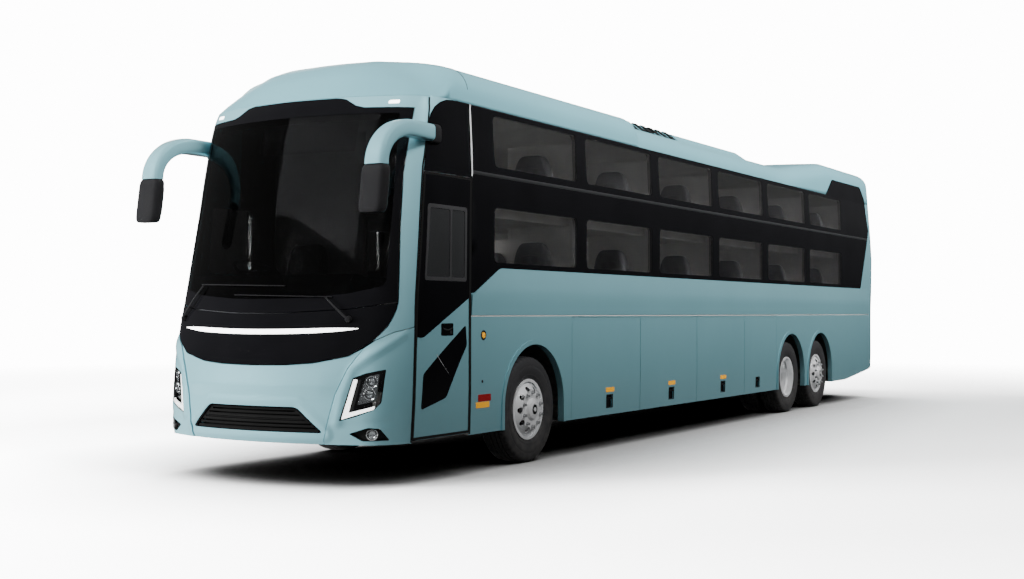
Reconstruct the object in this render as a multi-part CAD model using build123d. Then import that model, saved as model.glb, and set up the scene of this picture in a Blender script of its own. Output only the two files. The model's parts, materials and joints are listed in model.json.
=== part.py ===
from build123d import *
import os
from math import cos, radians, sin, sqrt

# Three-axle high-deck sleeper coach.  Millimetres, +Z up, wheels on Z = 0.
# The nose points to -Y, the coach's left side is +X, and the origin is the
# middle of its length and width on the ground.

# ---------------------------------------------------------------- overall
LENGTH = 15000
WIDTH = 2600
FRONT_OVERHANG = 2720
DRIVE_BASE = 7760          # front axle to drive axle
TAG_BASE = 1400            # drive axle to tag axle
NOSE_Y = -LENGTH / 2
TAIL_Y = LENGTH / 2
FRONT_AXLE_Y = NOSE_Y + FRONT_OVERHANG
DRIVE_AXLE_Y = FRONT_AXLE_Y + DRIVE_BASE
TAG_AXLE_Y = DRIVE_AXLE_Y + TAG_BASE

# ---------------------------------------------------------------- heights
SKIRT_Z = 365              # hem of the skirts
SILL_Z = 770               # fold in the luggage flaps
WAIST_Z = 1437             # top of the luggage flaps, seam under the side wall
GLASS_Z = 1890             # lower edge of the side glass
BELT_Z = 2750              # ledge between lower and upper side glass
ROOF_Z = 3370              # seam between body sides and roof

HEM_RISE_Y = 1390          # behind the tag axle the hem starts to rise
HEM_Z = 490                # hem where the tail starts, and below the tail
TAIL_HEM_Z = 555

# ---------------------------------------------------------------- walls
WALL = 50                  # body panels, doors and flaps
GLASS = 10                 # glass, let into the wall
GRILLE_RECESS = 25         # grille behind the face of the bumper
SEAM = 10                  # open gap round a moving panel
FIT = 0.3                  # bare clearance of a moving panel from its seat

# ---------------------------------------------------------------- body shape
NOSE_R = 2620              # bow of the nose in plan
NOSE_CORNER_R = 400
TAIL_R = 14000             # bow of the tail in plan
TAIL_CORNER_R = 110
TAIL_DEPTH = 350           # length of the tail's wrapped corners

# height, narrower than the widest point, nose set back, tail set back
BODY_ROWS = (
    (SKIRT_Z, 20, 20, 110),
    (560, 14, 0, 70),
    (SILL_Z, 10, 12, 60),
    (1040, 10, 35, 60),
    (1338, 10, 95, 60),
    (1570, 10, 152, 50),
    (GLASS_Z, 8, 225, 15),
    (2400, 4, 340, 0),
    (BELT_Z, 0, 412, 85),
    (3250, 20, 530, 150),
    (ROOF_Z, 25, 588, 165),
)
ROOF_ROWS = (
    (ROOF_Z, 25, 588, 165),
    (3500, 25, 675, 200),
    (3600, 25, 765, 230),
    (3700, 25, 910, 265),
    (3780, 25, 1120, 290),
    (3840, 25, 1480, 330),
    (3900, 25, 2100, 390),
    (4000, 25, 3600, 900),
)

# ---------------------------------------------------------------- roof
ROOF_EDGE_R = 260          # rounding between side and crown
BASE_EDGE_Z = 3376         # centre height of that rounding, and the crown
BASE_CROWN_Z = 3706
FAIRING_EDGE_Z = 3460      # raised front of the roof
FAIRING_CROWN_Z = 3840
FAIRING_END_Y = FRONT_AXLE_Y + 2450
FAIRING_RAMP = 260
DOME_EDGE_Z = 3640         # raised rear of the roof
DOME_CROWN_Z = 3990
RAMP_FRONT_Y = FRONT_AXLE_Y + 7450
RAMP_REAR_Y = FRONT_AXLE_Y + 10250
COOLER_FRONT_Y = FRONT_AXLE_Y + 2720
COOLER_REAR_Y = FRONT_AXLE_Y + 6560
COOLER_HALF = 1060         # roof air conditioner at its foot
COOLER_TOP_HALF = 930
COOLER_EDGE_Z = 3735
COOLER_CROWN_Z = 3830
COOLER_SHOULDER = 110      # height of the sloped edge
COOLER_RAKE = (200, 260)   # slope of the front and of the rear end
COOLER_LOUVRES = 8
COOLER_LOUVRE_PITCH = 170
LOUVRE_LENGTH = 90
LOUVRE_LEAN = 60
LOUVRE_DEPTH = 30

# ---------------------------------------------------------------- left door
DOOR_REAR_Y = FRONT_AXLE_Y - 1190
DOOR_TOP_Z = 2700
DOOR_BOTTOM_Z = 385
# height, front edge of the door and of the side walls behind the nose
DOOR_FRONT_LINE = (
    (SKIRT_Z, FRONT_AXLE_Y - 2114),
    (1546, FRONT_AXLE_Y - 2057),
    (2720, FRONT_AXLE_Y - 1905),
    (ROOF_Z, FRONT_AXLE_Y - 1750),
)
DOOR_SWING = 150
DOOR_ARM = 480             # pivot to pivot
DOOR_PIVOT_X = WIDTH / 2 - 180
DOOR_PIVOT_Y = FRONT_AXLE_Y - 1950
DOOR_ARM_THICK = 45
DOOR_ARM_ELBOW = (225, 100)   # outboard and forward of the body pivot, door open
DOOR_ARM_Z = 1500
DOOR_PIN_R = 16

# ---------------------------------------------------------------- windows
BAYS = 6
BAY_PITCH = 1882
WINDOW_LENGTH = 1660
WINDOW_R = 60
FIRST_WINDOW_Y = FRONT_AXLE_Y - 775
LOW_WINDOW = (1940, 2455)
HIGH_WINDOW = (2835, 3320)
# height, rear edge of the side glass
REAR_GLASS_LINE = (
    (GLASS_Z, FRONT_AXLE_Y + 11425),
    (2902, FRONT_AXLE_Y + 11908),
    (3428, FRONT_AXLE_Y + 11747),
    (3672, FRONT_AXLE_Y + 11459),
)
STEP_GLASS = ((FRONT_AXLE_Y + 9505, ROOF_Z), (FRONT_AXLE_Y + 9842, 3638))    # raised glass beside the dome
DRIVER_WINDOW = (FRONT_AXLE_Y - 1870, FRONT_AXLE_Y - 1270, 1845, 2490)

# ---------------------------------------------------------------- luggage flaps
FLAP_PITCH = 1675
FLAP_FRONT_Y = FRONT_AXLE_Y + 784
FLAP_COUNT = 4
FLAP_HANDLE = (165, 150, 22)       # length, height, depth of the grip recess
FLAP_HANDLE_FROM_REAR = 780
FLAP_HANDLE_Z = 510
HINGE_R = 5                # barrel along the top edge of each flap
HINGE_Z = WAIST_Z - 8

# ---------------------------------------------------------------- wheels
TYRE_R = 522
TYRE_WIDTH = 298
RIM_R = 298                # flange
RIM_SEAT_R = 286
WHEEL_OUT_X = 1241         # outer face of the outer tyres
TWIN_PITCH = 334
STUDS = 10
HAND_HOLE_R = 29
HAND_HOLE_PITCH_R = 205
ARCH_R = 590
ARCH_Z = 572
ARCH_LIP = 45
LINER_R = 640
LINER = 8
LINER_IN_X = 545
TYRE_X = WHEEL_OUT_X - TYRE_WIDTH / 2
DISC = 10                  # wheel disc
WELL = 28                  # depth of the rim's well
BARREL = 14
STUD_PITCH_R = 168
HUB_R = 140
SPINDLE_R = 60
SPINDLE_FIT = 0.4

# ---------------------------------------------------------------- axles
KINGPIN_X = 915
KINGPIN_R = 22
PIN_FIT = 0.1
EYE_R = 42
EYE_Z = (455, 590)
LUG = 50
HOUSING_R = 85
DIFFERENTIAL_R = 190
BELLOWS_R = 105

# ---------------------------------------------------------------- underframe
RAIL = 80
RAIL_IN_X = 380
RAIL_Z = 650
RAIL_HEIGHT = 160
PAD = 120
HOLD_Z = 395
HOLD_FLOOR = 30
BULKHEAD = 40
POST = 60                  # posts between the luggage flaps
LINER_FOOT_Z = 860
TOW_R = 20
TOW_TONGUE = 30            # thickness of the towing tongue
TOW_WALL = 35
TOW_REACH = 25
TOW_X = 250
TOW_Z = 560
FRAME_SETBACK = 330
PAD_DEPTH = 20
ENGINE_Z = (480, 1340)
TANK_SETBACK = 800
TANK_Z = (470, 1000)

# ---------------------------------------------------------------- inside
DECK_Z = 1440
DECK = 40
CAB_Z = 1080
CAB_FLOOR = 40
CAB_REAR_Y = FRONT_AXLE_Y - 905
STEP_X = 400
STEP_Z = 420
STEP_COUNT = 3
STEP_GOING = 260
STEP = 20                  # sheet of the steps
DASH_Y = FRONT_AXLE_Y - 1960
DASH_X = 820
STEERING_R = 225
STEERING_GRIP = 17
LID_ROOM = 160
AISLE_HALF = 250
AISLE_X = 150
BERTH_OUT_X = 1145         # window side of the berths
# top and underside of the lower and upper berths
BERTH_LEVELS = ((1720, 1680), (2640, 2380))
MATTRESS = 110
MATTRESS_R = 30
MATTRESS_GAP = 20
BACKREST = (500, 300, 390, 160)    # width at the foot and at the top, height, thickness
PARTITION = 30
PARTITION_TOP_Z = 3250

parts = {}


# ================================================================ helpers
def box(x0, x1, y0, y1, z0, z1):
    """Upright box between two corners."""
    return Solid.make_box(x1 - x0, y1 - y0, z1 - z0, Plane((x0, y0, z0)))


def prism_x(outline, x0, x1, radius=0):
    """Side-view outline of (y, z) points carried along X."""
    face = Face(Wire.make_polygon([Vector(x0, y, z) for y, z in outline], close=True))
    if radius:
        face = face.fillet_2d(radius, face.vertices())
    return Solid.extrude(face, Vector(x1 - x0, 0, 0))


def prism_y(outline, y0, y1, radius=0):
    """Front-view outline of (x, z) points carried along Y."""
    face = Face(Wire.make_polygon([Vector(x, y0, z) for x, z in outline], close=True))
    if radius:
        face = face.fillet_2d(radius, face.vertices())
    return Solid.extrude(face, Vector(0, y1 - y0, 0))


def prism_z(outline, z0, z1, radius=0):
    """Plan outline of (x, y) points carried along Z."""
    face = Face(Wire.make_polygon([Vector(x, y, z0) for x, y in outline], close=True))
    if radius:
        face = face.fillet_2d(radius, face.vertices())
    return Solid.extrude(face, Vector(0, 0, z1 - z0))


def mirrored(outline):
    """The same outline on the coach's other side."""
    return [(-x, z) for x, z in reversed(outline)]


def rod_x(radius, x0, x1, y, z):
    """Cylinder along X."""
    return Solid.make_cylinder(radius, x1 - x0, Plane((x0, y, z), z_dir=(1, 0, 0)))


def rod_y(radius, y0, y1, x, z):
    """Cylinder along Y."""
    return Solid.make_cylinder(radius, y1 - y0, Plane((x, y0, z), z_dir=(0, 1, 0)))


def rod_z(radius, z0, z1, x, y):
    """Cylinder along Z."""
    return Solid.make_cylinder(radius, z1 - z0, Plane((x, y, z0)))


def fused(shapes):
    """One shape from several that touch or overlap."""
    first = shapes[0]
    return first.fuse(*shapes[1:]) if len(shapes) > 1 else first


def both_sides(shape):
    """The shape and its mirror image, as separate solids."""
    return shape.solids() + shape.mirror(Plane.YZ).solids()


def keep(name, *shapes):
    """Collects the solids of one node."""
    solids = []
    for shape in shapes:
        solids += shape if isinstance(shape, list) else shape.solids()
    parts[name] = Compound(children=solids)


def at_height(rows, z, column):
    """Value of a column of a table of rows at one height, in straight lines between rows."""
    for low, high in zip(rows, rows[1:]):
        if z <= high[0]:
            share = (z - low[0]) / (high[0] - low[0])
            return low[column] + share * (high[column] - low[column])
    return rows[-1][column]


def half_width(z):
    """Half the body's width at one height."""
    return WIDTH / 2 - at_height(BODY_ROWS, z, 1)


def front_line(z):
    """Seam between the nose and the side walls or the door."""
    return at_height(DOOR_FRONT_LINE, z, 1)


# ================================================================ body surface
def bowed_end(half, y_middle, bow_r, corner_r, facing):
    """Points of a bowed end: side, corner middle, bow start, middle, facing -1 nose or +1 tail."""
    centre_y = y_middle - facing * bow_r
    reach = sqrt((bow_r - corner_r) ** 2 - (half - corner_r) ** 2)
    corner = Vector(half - corner_r, centre_y + facing * reach)
    outward = (corner - Vector(0, centre_y)).normalized()
    bow_start = corner + outward * corner_r
    middle = corner + (outward + Vector(1, 0)).normalized() * corner_r
    side = corner + Vector(corner_r, 0)
    return side, middle, bow_start, Vector(0, y_middle)


def plan_outline(row, inset, z):
    """Closed outline of the body at one height, set in by the wall already taken off."""
    half = WIDTH / 2 - row[1] - inset
    nose = bowed_end(half, NOSE_Y + row[2] + inset, NOSE_R - inset, NOSE_CORNER_R - inset, -1)
    tail = bowed_end(half, TAIL_Y - row[3] - inset, TAIL_R - inset, TAIL_CORNER_R - inset, 1)

    def at(point, side=1):
        return Vector(side * point.X, point.Y, z)

    return Wire([
        Edge.make_three_point_arc(at(nose[2], -1), at(nose[3]), at(nose[2])),
        Edge.make_three_point_arc(at(nose[2]), at(nose[1]), at(nose[0])),
        Edge.make_line(at(nose[0]), at(tail[0])),
        Edge.make_three_point_arc(at(tail[0]), at(tail[1]), at(tail[2])),
        Edge.make_three_point_arc(at(tail[2]), at(tail[3]), at(tail[2], -1)),
        Edge.make_three_point_arc(at(tail[2], -1), at(tail[1], -1), at(tail[0], -1)),
        Edge.make_line(at(tail[0], -1), at(nose[0], -1)),
        Edge.make_three_point_arc(at(nose[0], -1), at(nose[1], -1), at(nose[2], -1)),
    ])


def body_loft(rows, inset, below=0, above=0):
    """Solid through the outlines of a table of rows, set in by inset."""
    heights = [row[0] for row in rows]
    heights[0] -= below
    heights[-1] += above
    return Solid.make_loft([plan_outline(row, inset, z) for row, z in zip(rows, heights)], True)


body = body_loft(BODY_ROWS, 0)
behind_glass = body_loft(BODY_ROWS, GLASS, WALL, WALL)
behind_grille = body_loft(BODY_ROWS, GRILLE_RECESS, WALL, WALL)
cabin = body_loft(BODY_ROWS, WALL, WALL, WALL)
seat_face = body_loft(BODY_ROWS, WALL + FIT, WALL, WALL)       # what doors and flaps close against
shell = body - cabin
skin = body - behind_glass

FAR = WIDTH                # past either side of the coach
BELOW = SKIRT_Z - WALL     # past the hem


def nose_side(offset):
    """Side-view outline of all that lies ahead of the door line, moved by an offset."""
    line = [(y + offset, z) for z, y in DOOR_FRONT_LINE]
    line = [(line[0][0], BELOW)] + line + [(line[-1][0], ROOF_Z + WALL)]
    return [(NOSE_Y - WALL, ROOF_Z + WALL), (NOSE_Y - WALL, BELOW)] + line


REAR_CUT_Y = TAIL_Y - TAIL_DEPTH
nose_zone = prism_x(nose_side(0), -FAR, FAR)
tail_zone = box(-FAR, FAR, REAR_CUT_Y, TAIL_Y + WALL, BELOW, ROOF_Z + WALL)
nose_shell = shell & nose_zone
tail_shell = shell & tail_zone
side_shell = shell - nose_zone - tail_zone

# ================================================================ roof
def roof_section(edge_z, crown_z, y0, y1, inset):
    """Prism along Y of a crowned roof section: side, rounding, crown, rounding, side."""
    half = WIDTH / 2 - ROOF_ROWS[0][1] - inset
    edge_r = ROOF_EDGE_R - inset
    centre_x = half - edge_r
    rise = crown_z - inset - edge_z
    crown_r = (centre_x ** 2 + rise ** 2 - edge_r ** 2) / (2 * (rise - edge_r))
    crown_centre = Vector(0, edge_z + rise - crown_r)
    corner = Vector(centre_x, edge_z)
    outward = (corner - crown_centre).normalized()
    joint = corner + outward * edge_r
    middle = corner + (outward + Vector(1, 0)).normalized() * edge_r

    def at(x, z):
        return Vector(x, y0, z)

    foot = ROOF_Z - WALL
    outline = Wire([
        Edge.make_line(at(-half, foot), at(half, foot)),
        Edge.make_line(at(half, foot), at(half, edge_z)),
        Edge.make_three_point_arc(at(half, edge_z), at(middle.X, middle.Y), at(joint.X, joint.Y)),
        Edge.make_three_point_arc(at(joint.X, joint.Y), at(0, crown_z - inset), at(-joint.X, joint.Y)),
        Edge.make_three_point_arc(at(-joint.X, joint.Y), at(-middle.X, middle.Y), at(-half, edge_z)),
        Edge.make_line(at(-half, edge_z), at(-half, foot)),
    ])
    return Solid.extrude(Face(outline), Vector(0, y1 - y0, 0))


def roof_form(inset):
    """The roof as a solid: low middle, raised front fairing, ramp and rear dome, rounded ends."""
    low = roof_section(BASE_EDGE_Z, BASE_CROWN_Z, NOSE_Y, TAIL_Y, inset)
    fairing = roof_section(FAIRING_EDGE_Z, FAIRING_CROWN_Z, NOSE_Y, FAIRING_END_Y, inset)
    fairing -= prism_x([
        (FAIRING_END_Y - FAIRING_RAMP - inset, FAIRING_CROWN_Z + WALL),
        (FAIRING_END_Y - FAIRING_RAMP - inset, FAIRING_CROWN_Z),
        (FAIRING_END_Y - inset, BASE_EDGE_Z + ROOF_EDGE_R),
        (FAIRING_END_Y + WALL, BASE_EDGE_Z + ROOF_EDGE_R),
        (FAIRING_END_Y + WALL, FAIRING_CROWN_Z + WALL),
    ], -FAR, FAR)
    dome = roof_section(DOME_EDGE_Z, DOME_CROWN_Z, RAMP_FRONT_Y, TAIL_Y, inset)
    dome -= prism_x([
        (RAMP_FRONT_Y - WALL, BASE_EDGE_Z + ROOF_EDGE_R - inset),
        (RAMP_FRONT_Y, BASE_EDGE_Z + ROOF_EDGE_R - inset),
        (RAMP_REAR_Y, DOME_CROWN_Z - inset),
        (RAMP_REAR_Y, DOME_CROWN_Z + WALL),
        (RAMP_FRONT_Y - WALL, DOME_CROWN_Z + WALL),
    ], -FAR, FAR)
    ends = body_loft(ROOF_ROWS, inset, WALL if inset else 0, WALL)
    return fused([low, fairing, dome]) & ends


roof_solid = roof_form(0)
top_corner, shoulder = REAR_GLASS_LINE[-1], REAR_GLASS_LINE[-2]
step_foot = ROOF_Z + SEAM / 2
step_outline = [(STEP_GLASS[0][0], step_foot), STEP_GLASS[1], (top_corner[1], top_corner[0]),
                (shoulder[1], shoulder[0]), (at_height(REAR_GLASS_LINE, step_foot, 1), step_foot)]
step_panes = (roof_solid - roof_form(GLASS)) & prism_x(step_outline, -FAR, FAR)
keep("roof", roof_solid - roof_form(WALL) - step_panes)

# roof air conditioner: a crowned box with sloped ends and a row of slanted louvres
shoulder_z = COOLER_EDGE_Z - COOLER_SHOULDER
crest_z = COOLER_CROWN_Z - 20
cooler = prism_y([
    (-COOLER_HALF, BASE_EDGE_Z), (COOLER_HALF, BASE_EDGE_Z), (COOLER_HALF, shoulder_z),
    (COOLER_TOP_HALF, COOLER_EDGE_Z), (COOLER_TOP_HALF / 2, crest_z), (-COOLER_TOP_HALF / 2, crest_z),
    (-COOLER_TOP_HALF, COOLER_EDGE_Z), (-COOLER_HALF, shoulder_z),
], COOLER_FRONT_Y, COOLER_REAR_Y)
cooler &= prism_x([
    (COOLER_FRONT_Y, BASE_EDGE_Z), (COOLER_REAR_Y, BASE_EDGE_Z), (COOLER_REAR_Y, shoulder_z),
    (COOLER_REAR_Y - COOLER_RAKE[1], COOLER_CROWN_Z), (COOLER_FRONT_Y + COOLER_RAKE[0], COOLER_CROWN_Z),
    (COOLER_FRONT_Y, shoulder_z),
], -FAR, FAR)
for number in range(COOLER_LOUVRES):
    y = COOLER_FRONT_Y + COOLER_RAKE[0] * 0.6 + number * COOLER_LOUVRE_PITCH
    top = COOLER_EDGE_Z - 10
    slot = prism_x([(y, shoulder_z), (y + LOUVRE_LENGTH, shoulder_z), (y + LOUVRE_LENGTH + LOUVRE_LEAN, top),
                    (y + LOUVRE_LEAN, top)], COOLER_TOP_HALF - LOUVRE_DEPTH, COOLER_HALF + LOUVRE_DEPTH)
    cooler -= slot
    cooler -= slot.mirror(Plane.YZ)
cooler -= roof_solid
keep("roof_cooler", cooler)

# ================================================================ nose
# front-view outlines as half outlines of (x, z) on the coach's left
SCREEN_FOOT = ((0, 1466), (320, 1470), (858, 1500), (1218, 1560))
MASK_FOOT = ((0, 1022), (356, 1028), (610, 1047), (907, 1107), (1030, 1175), (1115, 1244), (1221, 1309),
             (1290, 1352))
BUMPER_SIDE = ((732, SKIRT_Z - WALL), (732, 397), (825, 787), (918, 1004), (1030, 1175))
SCREEN_SIDE = ((1218, 1560), (1171, 2237), (1150, 2671), (1159, 3250))
SCREEN_TOP_Z = 3250
VIEW_SIDE = ((1128, 1700), (1095, 2546), (1070, 3120))
VIEW_FOOT = ((0, 1590), (320, 1594), (824, 1630))
VIEW_TOP_Z = 3205
LAMP_OUTLINE = ((868, 567), (964, 925), (1060, 965), (1198, 1000), (1180, 721), (1136, 662), (994, 602))
POD_OUTLINE = ((943, 463), (1094, 514), (1173, 506), (1219, 406), (1047, 400))
INTAKE_OUTLINE = ((-730, 462), (-487, 676), (487, 676), (730, 462))
INTAKE_SLATS = 5


def full_outline(foot, side, top_z):
    """A closed outline, mirrored about the middle, from half a foot line, one side and a flat top."""
    right = list(foot) + [point for point in side if point[0] != foot[-1][0]]
    right = right + [(right[-1][0], top_z)] if right[-1][1] != top_z else right
    left = [(-x, z) for x, z in reversed(right) if x]
    return right + left


def above(foot):
    """Front-view outline of all of the nose that lies above a half foot line."""
    half = list(foot) + [(FAR, foot[-1][1]), (FAR, ROOF_Z + WALL)]
    return half + [(-x, z) for x, z in reversed(half) if x]


def front_cut(outline, radius=0):
    """Cutter through the nose with a front-view outline."""
    return prism_y(outline, NOSE_Y - WALL, FRONT_AXLE_Y, radius)


screen_outline = full_outline(SCREEN_FOOT, SCREEN_SIDE, SCREEN_TOP_Z)
screen = (skin & nose_zone) & front_cut(screen_outline)
view = front_cut(full_outline(VIEW_FOOT, VIEW_SIDE, VIEW_TOP_Z))

bumper_half = list(BUMPER_SIDE)
bumper_outline = bumper_half + [(0, BUMPER_SIDE[-1][1])] + mirrored(bumper_half)

upper_nose = nose_shell & front_cut(above(SCREEN_FOOT))
keep("windshield_frame", upper_nose - screen - view)
keep("windshield", screen)
keep("front_mask", (nose_shell & front_cut(above(MASK_FOOT))) - front_cut(above(SCREEN_FOOT)))

lower_nose = nose_shell - front_cut(above(MASK_FOOT))
intake = front_cut(INTAKE_OUTLINE, 30)
bumper = (lower_nose & front_cut(bumper_outline)) - intake
keep("front_panel", bumper)
corners = lower_nose - front_cut(bumper_outline)
lamps = []
for outline in (LAMP_OUTLINE, POD_OUTLINE):
    for cutter in (front_cut(outline), front_cut(mirrored(outline))):
        lamps += (corners & cutter).solids()
        corners = corners - cutter
keep("front_corners", corners)
keep("front_lamps", lamps)

grille = (behind_grille - cabin) & intake
slat_pitch = (INTAKE_OUTLINE[1][1] - INTAKE_OUTLINE[0][1]) / (INTAKE_SLATS + 1)
for number in range(INTAKE_SLATS):
    z = INTAKE_OUTLINE[0][1] + (number + 0.75) * slat_pitch
    reach = 660 - number * 50
    grille -= box(-reach, reach, NOSE_Y - WALL, FRONT_AXLE_Y - 1000, z, z + slat_pitch / 2)
keep("intake_grille", grille)

# wipers: a spindle in the mask, an arm and a blade that lie just off the glass
def nose_y(x, z):
    """Y of the nose's outer face at a place of the front view, inside the bow."""
    y_middle = NOSE_Y + at_height(BODY_ROWS, z, 2)
    return y_middle + NOSE_R - sqrt(NOSE_R ** 2 - x ** 2)


WIPER_FOOT = (900, 1420)
WIPER_HEEL = (640, 1600)
BLADE_HALF = 400
WIPER_GAP = 14
wipers = []
for side in (1, -1):
    foot = Vector(side * WIPER_FOOT[0], nose_y(*WIPER_FOOT), WIPER_FOOT[1])
    heel_x = side * WIPER_HEEL[0] - (180 if side < 0 else 0)
    heel = Vector(heel_x, nose_y(heel_x, WIPER_HEEL[1]) - WIPER_GAP - 25, WIPER_HEEL[1])
    spindle = Solid.make_cylinder(22, 60, Plane(foot, z_dir=(0, -1, 0)))
    head = foot + Vector(0, -45, 0)
    reach = heel - head
    arm = Solid.make_cylinder(11, reach.length, Plane(head, z_dir=reach))
    blade = box(heel_x - BLADE_HALF, heel_x + BLADE_HALF, heel.Y - 12, heel.Y + 12, 1585, 1612)
    wipers += fused([spindle, arm, blade]).cut(body).solids()
keep("wipers", wipers)

# ================================================================ mirrors
MIRROR_X = 1262            # middle of the arm and the head
MIRROR_ARM_HALF = (80, 100)        # half width of the arm at its root and at the head
MIRROR_ARM_Z = (2962, 3112)        # underside and top of the arm beside the pillar
MIRROR_ARM_Y = (FRONT_AXLE_Y - 1820, FRONT_AXLE_Y - 2130)      # inside the pillar, start of the arch
MIRROR_HEAD_Z = (2289, 2689)
MIRROR_HEAD_HALF = 120
MIRROR_HEAD_DEPTH = 140
MIRROR_HEAD_Y = (FRONT_AXLE_Y - 2718, FRONT_AXLE_Y - 2662)     # front of the head at its foot and its top


def quarter(start, end):
    """Arc in side view from a level start point to an upright end point, both (y, z)."""
    (y0, z0), (y1, z1) = start, end
    level, drop = sin(radians(45)), 1 - cos(radians(45))
    middle = Vector(0, y0 + level * (y1 - y0), z0 + drop * (z1 - z0))
    return Edge.make_three_point_arc(Vector(0, y0, z0), middle, Vector(0, y1, z1))


root_y, arch_y = MIRROR_ARM_Y
under, over = MIRROR_ARM_Z
head_top = MIRROR_HEAD_Z[1]
arm_front, arm_rear = MIRROR_HEAD_Y[1] + 4, MIRROR_HEAD_Y[1] + MIRROR_HEAD_DEPTH - 4
arm_outline = Wire([
    Edge.make_line(Vector(0, root_y, over), Vector(0, arch_y, over)),
    quarter((arch_y, over), (arm_front, head_top)),
    Edge.make_line(Vector(0, arm_front, head_top), Vector(0, arm_rear, head_top)),
    quarter((arch_y, under), (arm_rear, head_top)),
    Edge.make_line(Vector(0, arch_y, under), Vector(0, root_y, under)),
    Edge.make_line(Vector(0, root_y, under), Vector(0, root_y, over)),
])
arm = Solid.extrude(Face(arm_outline), Vector(FAR, 0, 0))
root_half, head_half = MIRROR_ARM_HALF
arm_front_view = [(MIRROR_X - root_half, MIRROR_ARM_Z[1] + 1), (MIRROR_X + root_half, MIRROR_ARM_Z[1] + 1),
                  (MIRROR_X + head_half, head_top), (MIRROR_X - head_half, head_top)]
arm &= prism_y(arm_front_view, MIRROR_HEAD_Y[0] - 1, root_y + 1)
arm = (arm - body).solids().sort_by(Axis.Y)[0]
keep("mirror_arms", both_sides(arm))
foot_y, top_y = MIRROR_HEAD_Y
mirror_head = prism_x([(foot_y, MIRROR_HEAD_Z[0]), (foot_y + MIRROR_HEAD_DEPTH, MIRROR_HEAD_Z[0]),
                       (top_y + MIRROR_HEAD_DEPTH, head_top), (top_y, head_top)],
                      MIRROR_X - MIRROR_HEAD_HALF, MIRROR_X + MIRROR_HEAD_HALF, 35)
keep("mirror_heads", both_sides(mirror_head))

# ================================================================ side walls, glass and skirts
side_left = side_shell & box(0, FAR, NOSE_Y, TAIL_Y, BELOW, ROOF_Z + WALL)
side_right = side_shell & box(-FAR, 0, NOSE_Y, TAIL_Y, BELOW, ROOF_Z + WALL)

door_line = [(y, z) for z, y in DOOR_FRONT_LINE if z < DOOR_TOP_Z]
door_line[0] = (front_line(DOOR_BOTTOM_Z), DOOR_BOTTOM_Z)
door_line.append((front_line(DOOR_TOP_Z), DOOR_TOP_Z))
doorway = door_line + [(DOOR_REAR_Y, DOOR_TOP_Z), (DOOR_REAR_Y, BELOW), (front_line(SKIRT_Z), BELOW)]
doorway_cut = prism_x(doorway, 0, FAR)
door_outline = [(y + SEAM, min(z, DOOR_TOP_Z - SEAM)) for y, z in door_line]
door_outline += [(DOOR_REAR_Y - SEAM, DOOR_TOP_Z - SEAM), (DOOR_REAR_Y - SEAM, DOOR_BOTTOM_Z)]

first_pillar = FIRST_WINDOW_Y - (BAY_PITCH - WINDOW_LENGTH) / 2
pillars = [first_pillar + number * BAY_PITCH for number in range(BAYS + 1)]


def rear_edge(z):
    """Slanted rear edge of the side glass."""
    return at_height(REAR_GLASS_LINE, z, 1)


def side_panes(x0, x1):
    """Glass of one side: an upper and a lower pane to each bay, and the slanted rear panes."""
    low_top = BELT_Z - 5
    high_foot = BELT_Z + 5
    high_top = ROOF_Z - 5
    panes = []
    for number in range(BAYS):
        front, rear = pillars[number] + 4, pillars[number + 1] - 4
        low = [(front, GLASS_Z), (rear, GLASS_Z), (rear, low_top), (front, low_top)]
        if number == 0:
            low = [(DOOR_REAR_Y + SEAM, 1650), (DOOR_REAR_Y + 60, 1650), (DOOR_REAR_Y + 520, GLASS_Z),
                   (rear, GLASS_Z), (rear, low_top), (DOOR_REAR_Y + SEAM, low_top)]
            front = DOOR_REAR_Y + SEAM
        high = [(front, high_foot), (rear, high_foot), (rear, high_top), (front, high_top)]
        panes += [prism_x(low, x0, x1), prism_x(high, x0, x1)]
    front = pillars[BAYS] + 4
    panes.append(prism_x([(front, GLASS_Z), (rear_edge(GLASS_Z), GLASS_Z), (rear_edge(low_top), low_top),
                          (front, low_top)], x0, x1))
    widest = REAR_GLASS_LINE[1]
    panes.append(prism_x([(front, high_foot), (rear_edge(high_foot), high_foot), (widest[1], widest[0]),
                          (rear_edge(high_top), high_top), (front, high_top)], x0, x1))
    return panes


def window_holes(x0, x1):
    """Rounded openings behind the side glass."""
    holes = []
    for number in range(BAYS):
        front = FIRST_WINDOW_Y + number * BAY_PITCH
        for low, high in (LOW_WINDOW, HIGH_WINDOW):
            rear = front + WINDOW_LENGTH
            holes.append(prism_x([(front, low), (rear, low), (rear, high), (front, high)], x0, x1, WINDOW_R))
    return holes


driver_pane = [(front_line(1650) + SEAM, 1650), (DOOR_REAR_Y + SEAM - 8, 1650),
               (DOOR_REAR_Y + SEAM - 8, BELT_Z - 5), (front_line(BELT_Z) + SEAM, BELT_Z - 5)]
driver_view = prism_x([(DRIVER_WINDOW[0], DRIVER_WINDOW[2]), (DRIVER_WINDOW[1], DRIVER_WINDOW[2]),
                       (DRIVER_WINDOW[1], DRIVER_WINDOW[3]), (DRIVER_WINDOW[0] + 60, DRIVER_WINDOW[3])],
                      -FAR, 0, WINDOW_R)
above_waist = box(-FAR, FAR, NOSE_Y, TAIL_Y, WAIST_Z, ROOF_Z + WALL)
panes = step_panes.solids()
for name, side, x0, x1 in (("left", side_left, 0, FAR), ("right", side_right, -FAR, 0)):
    wall = side & above_waist
    cutters = side_panes(x0, x1)
    if name == "right":
        cutters.append(prism_x(driver_pane, x0, x1))
    panes += [pane for cutter in cutters for pane in (skin & cutter).solids()]
    wall = wall - [skin & cutter for cutter in cutters] - window_holes(x0, x1)
    wall = wall - doorway_cut if name == "left" else wall - driver_view
    keep("side_wall_" + name, wall)


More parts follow.
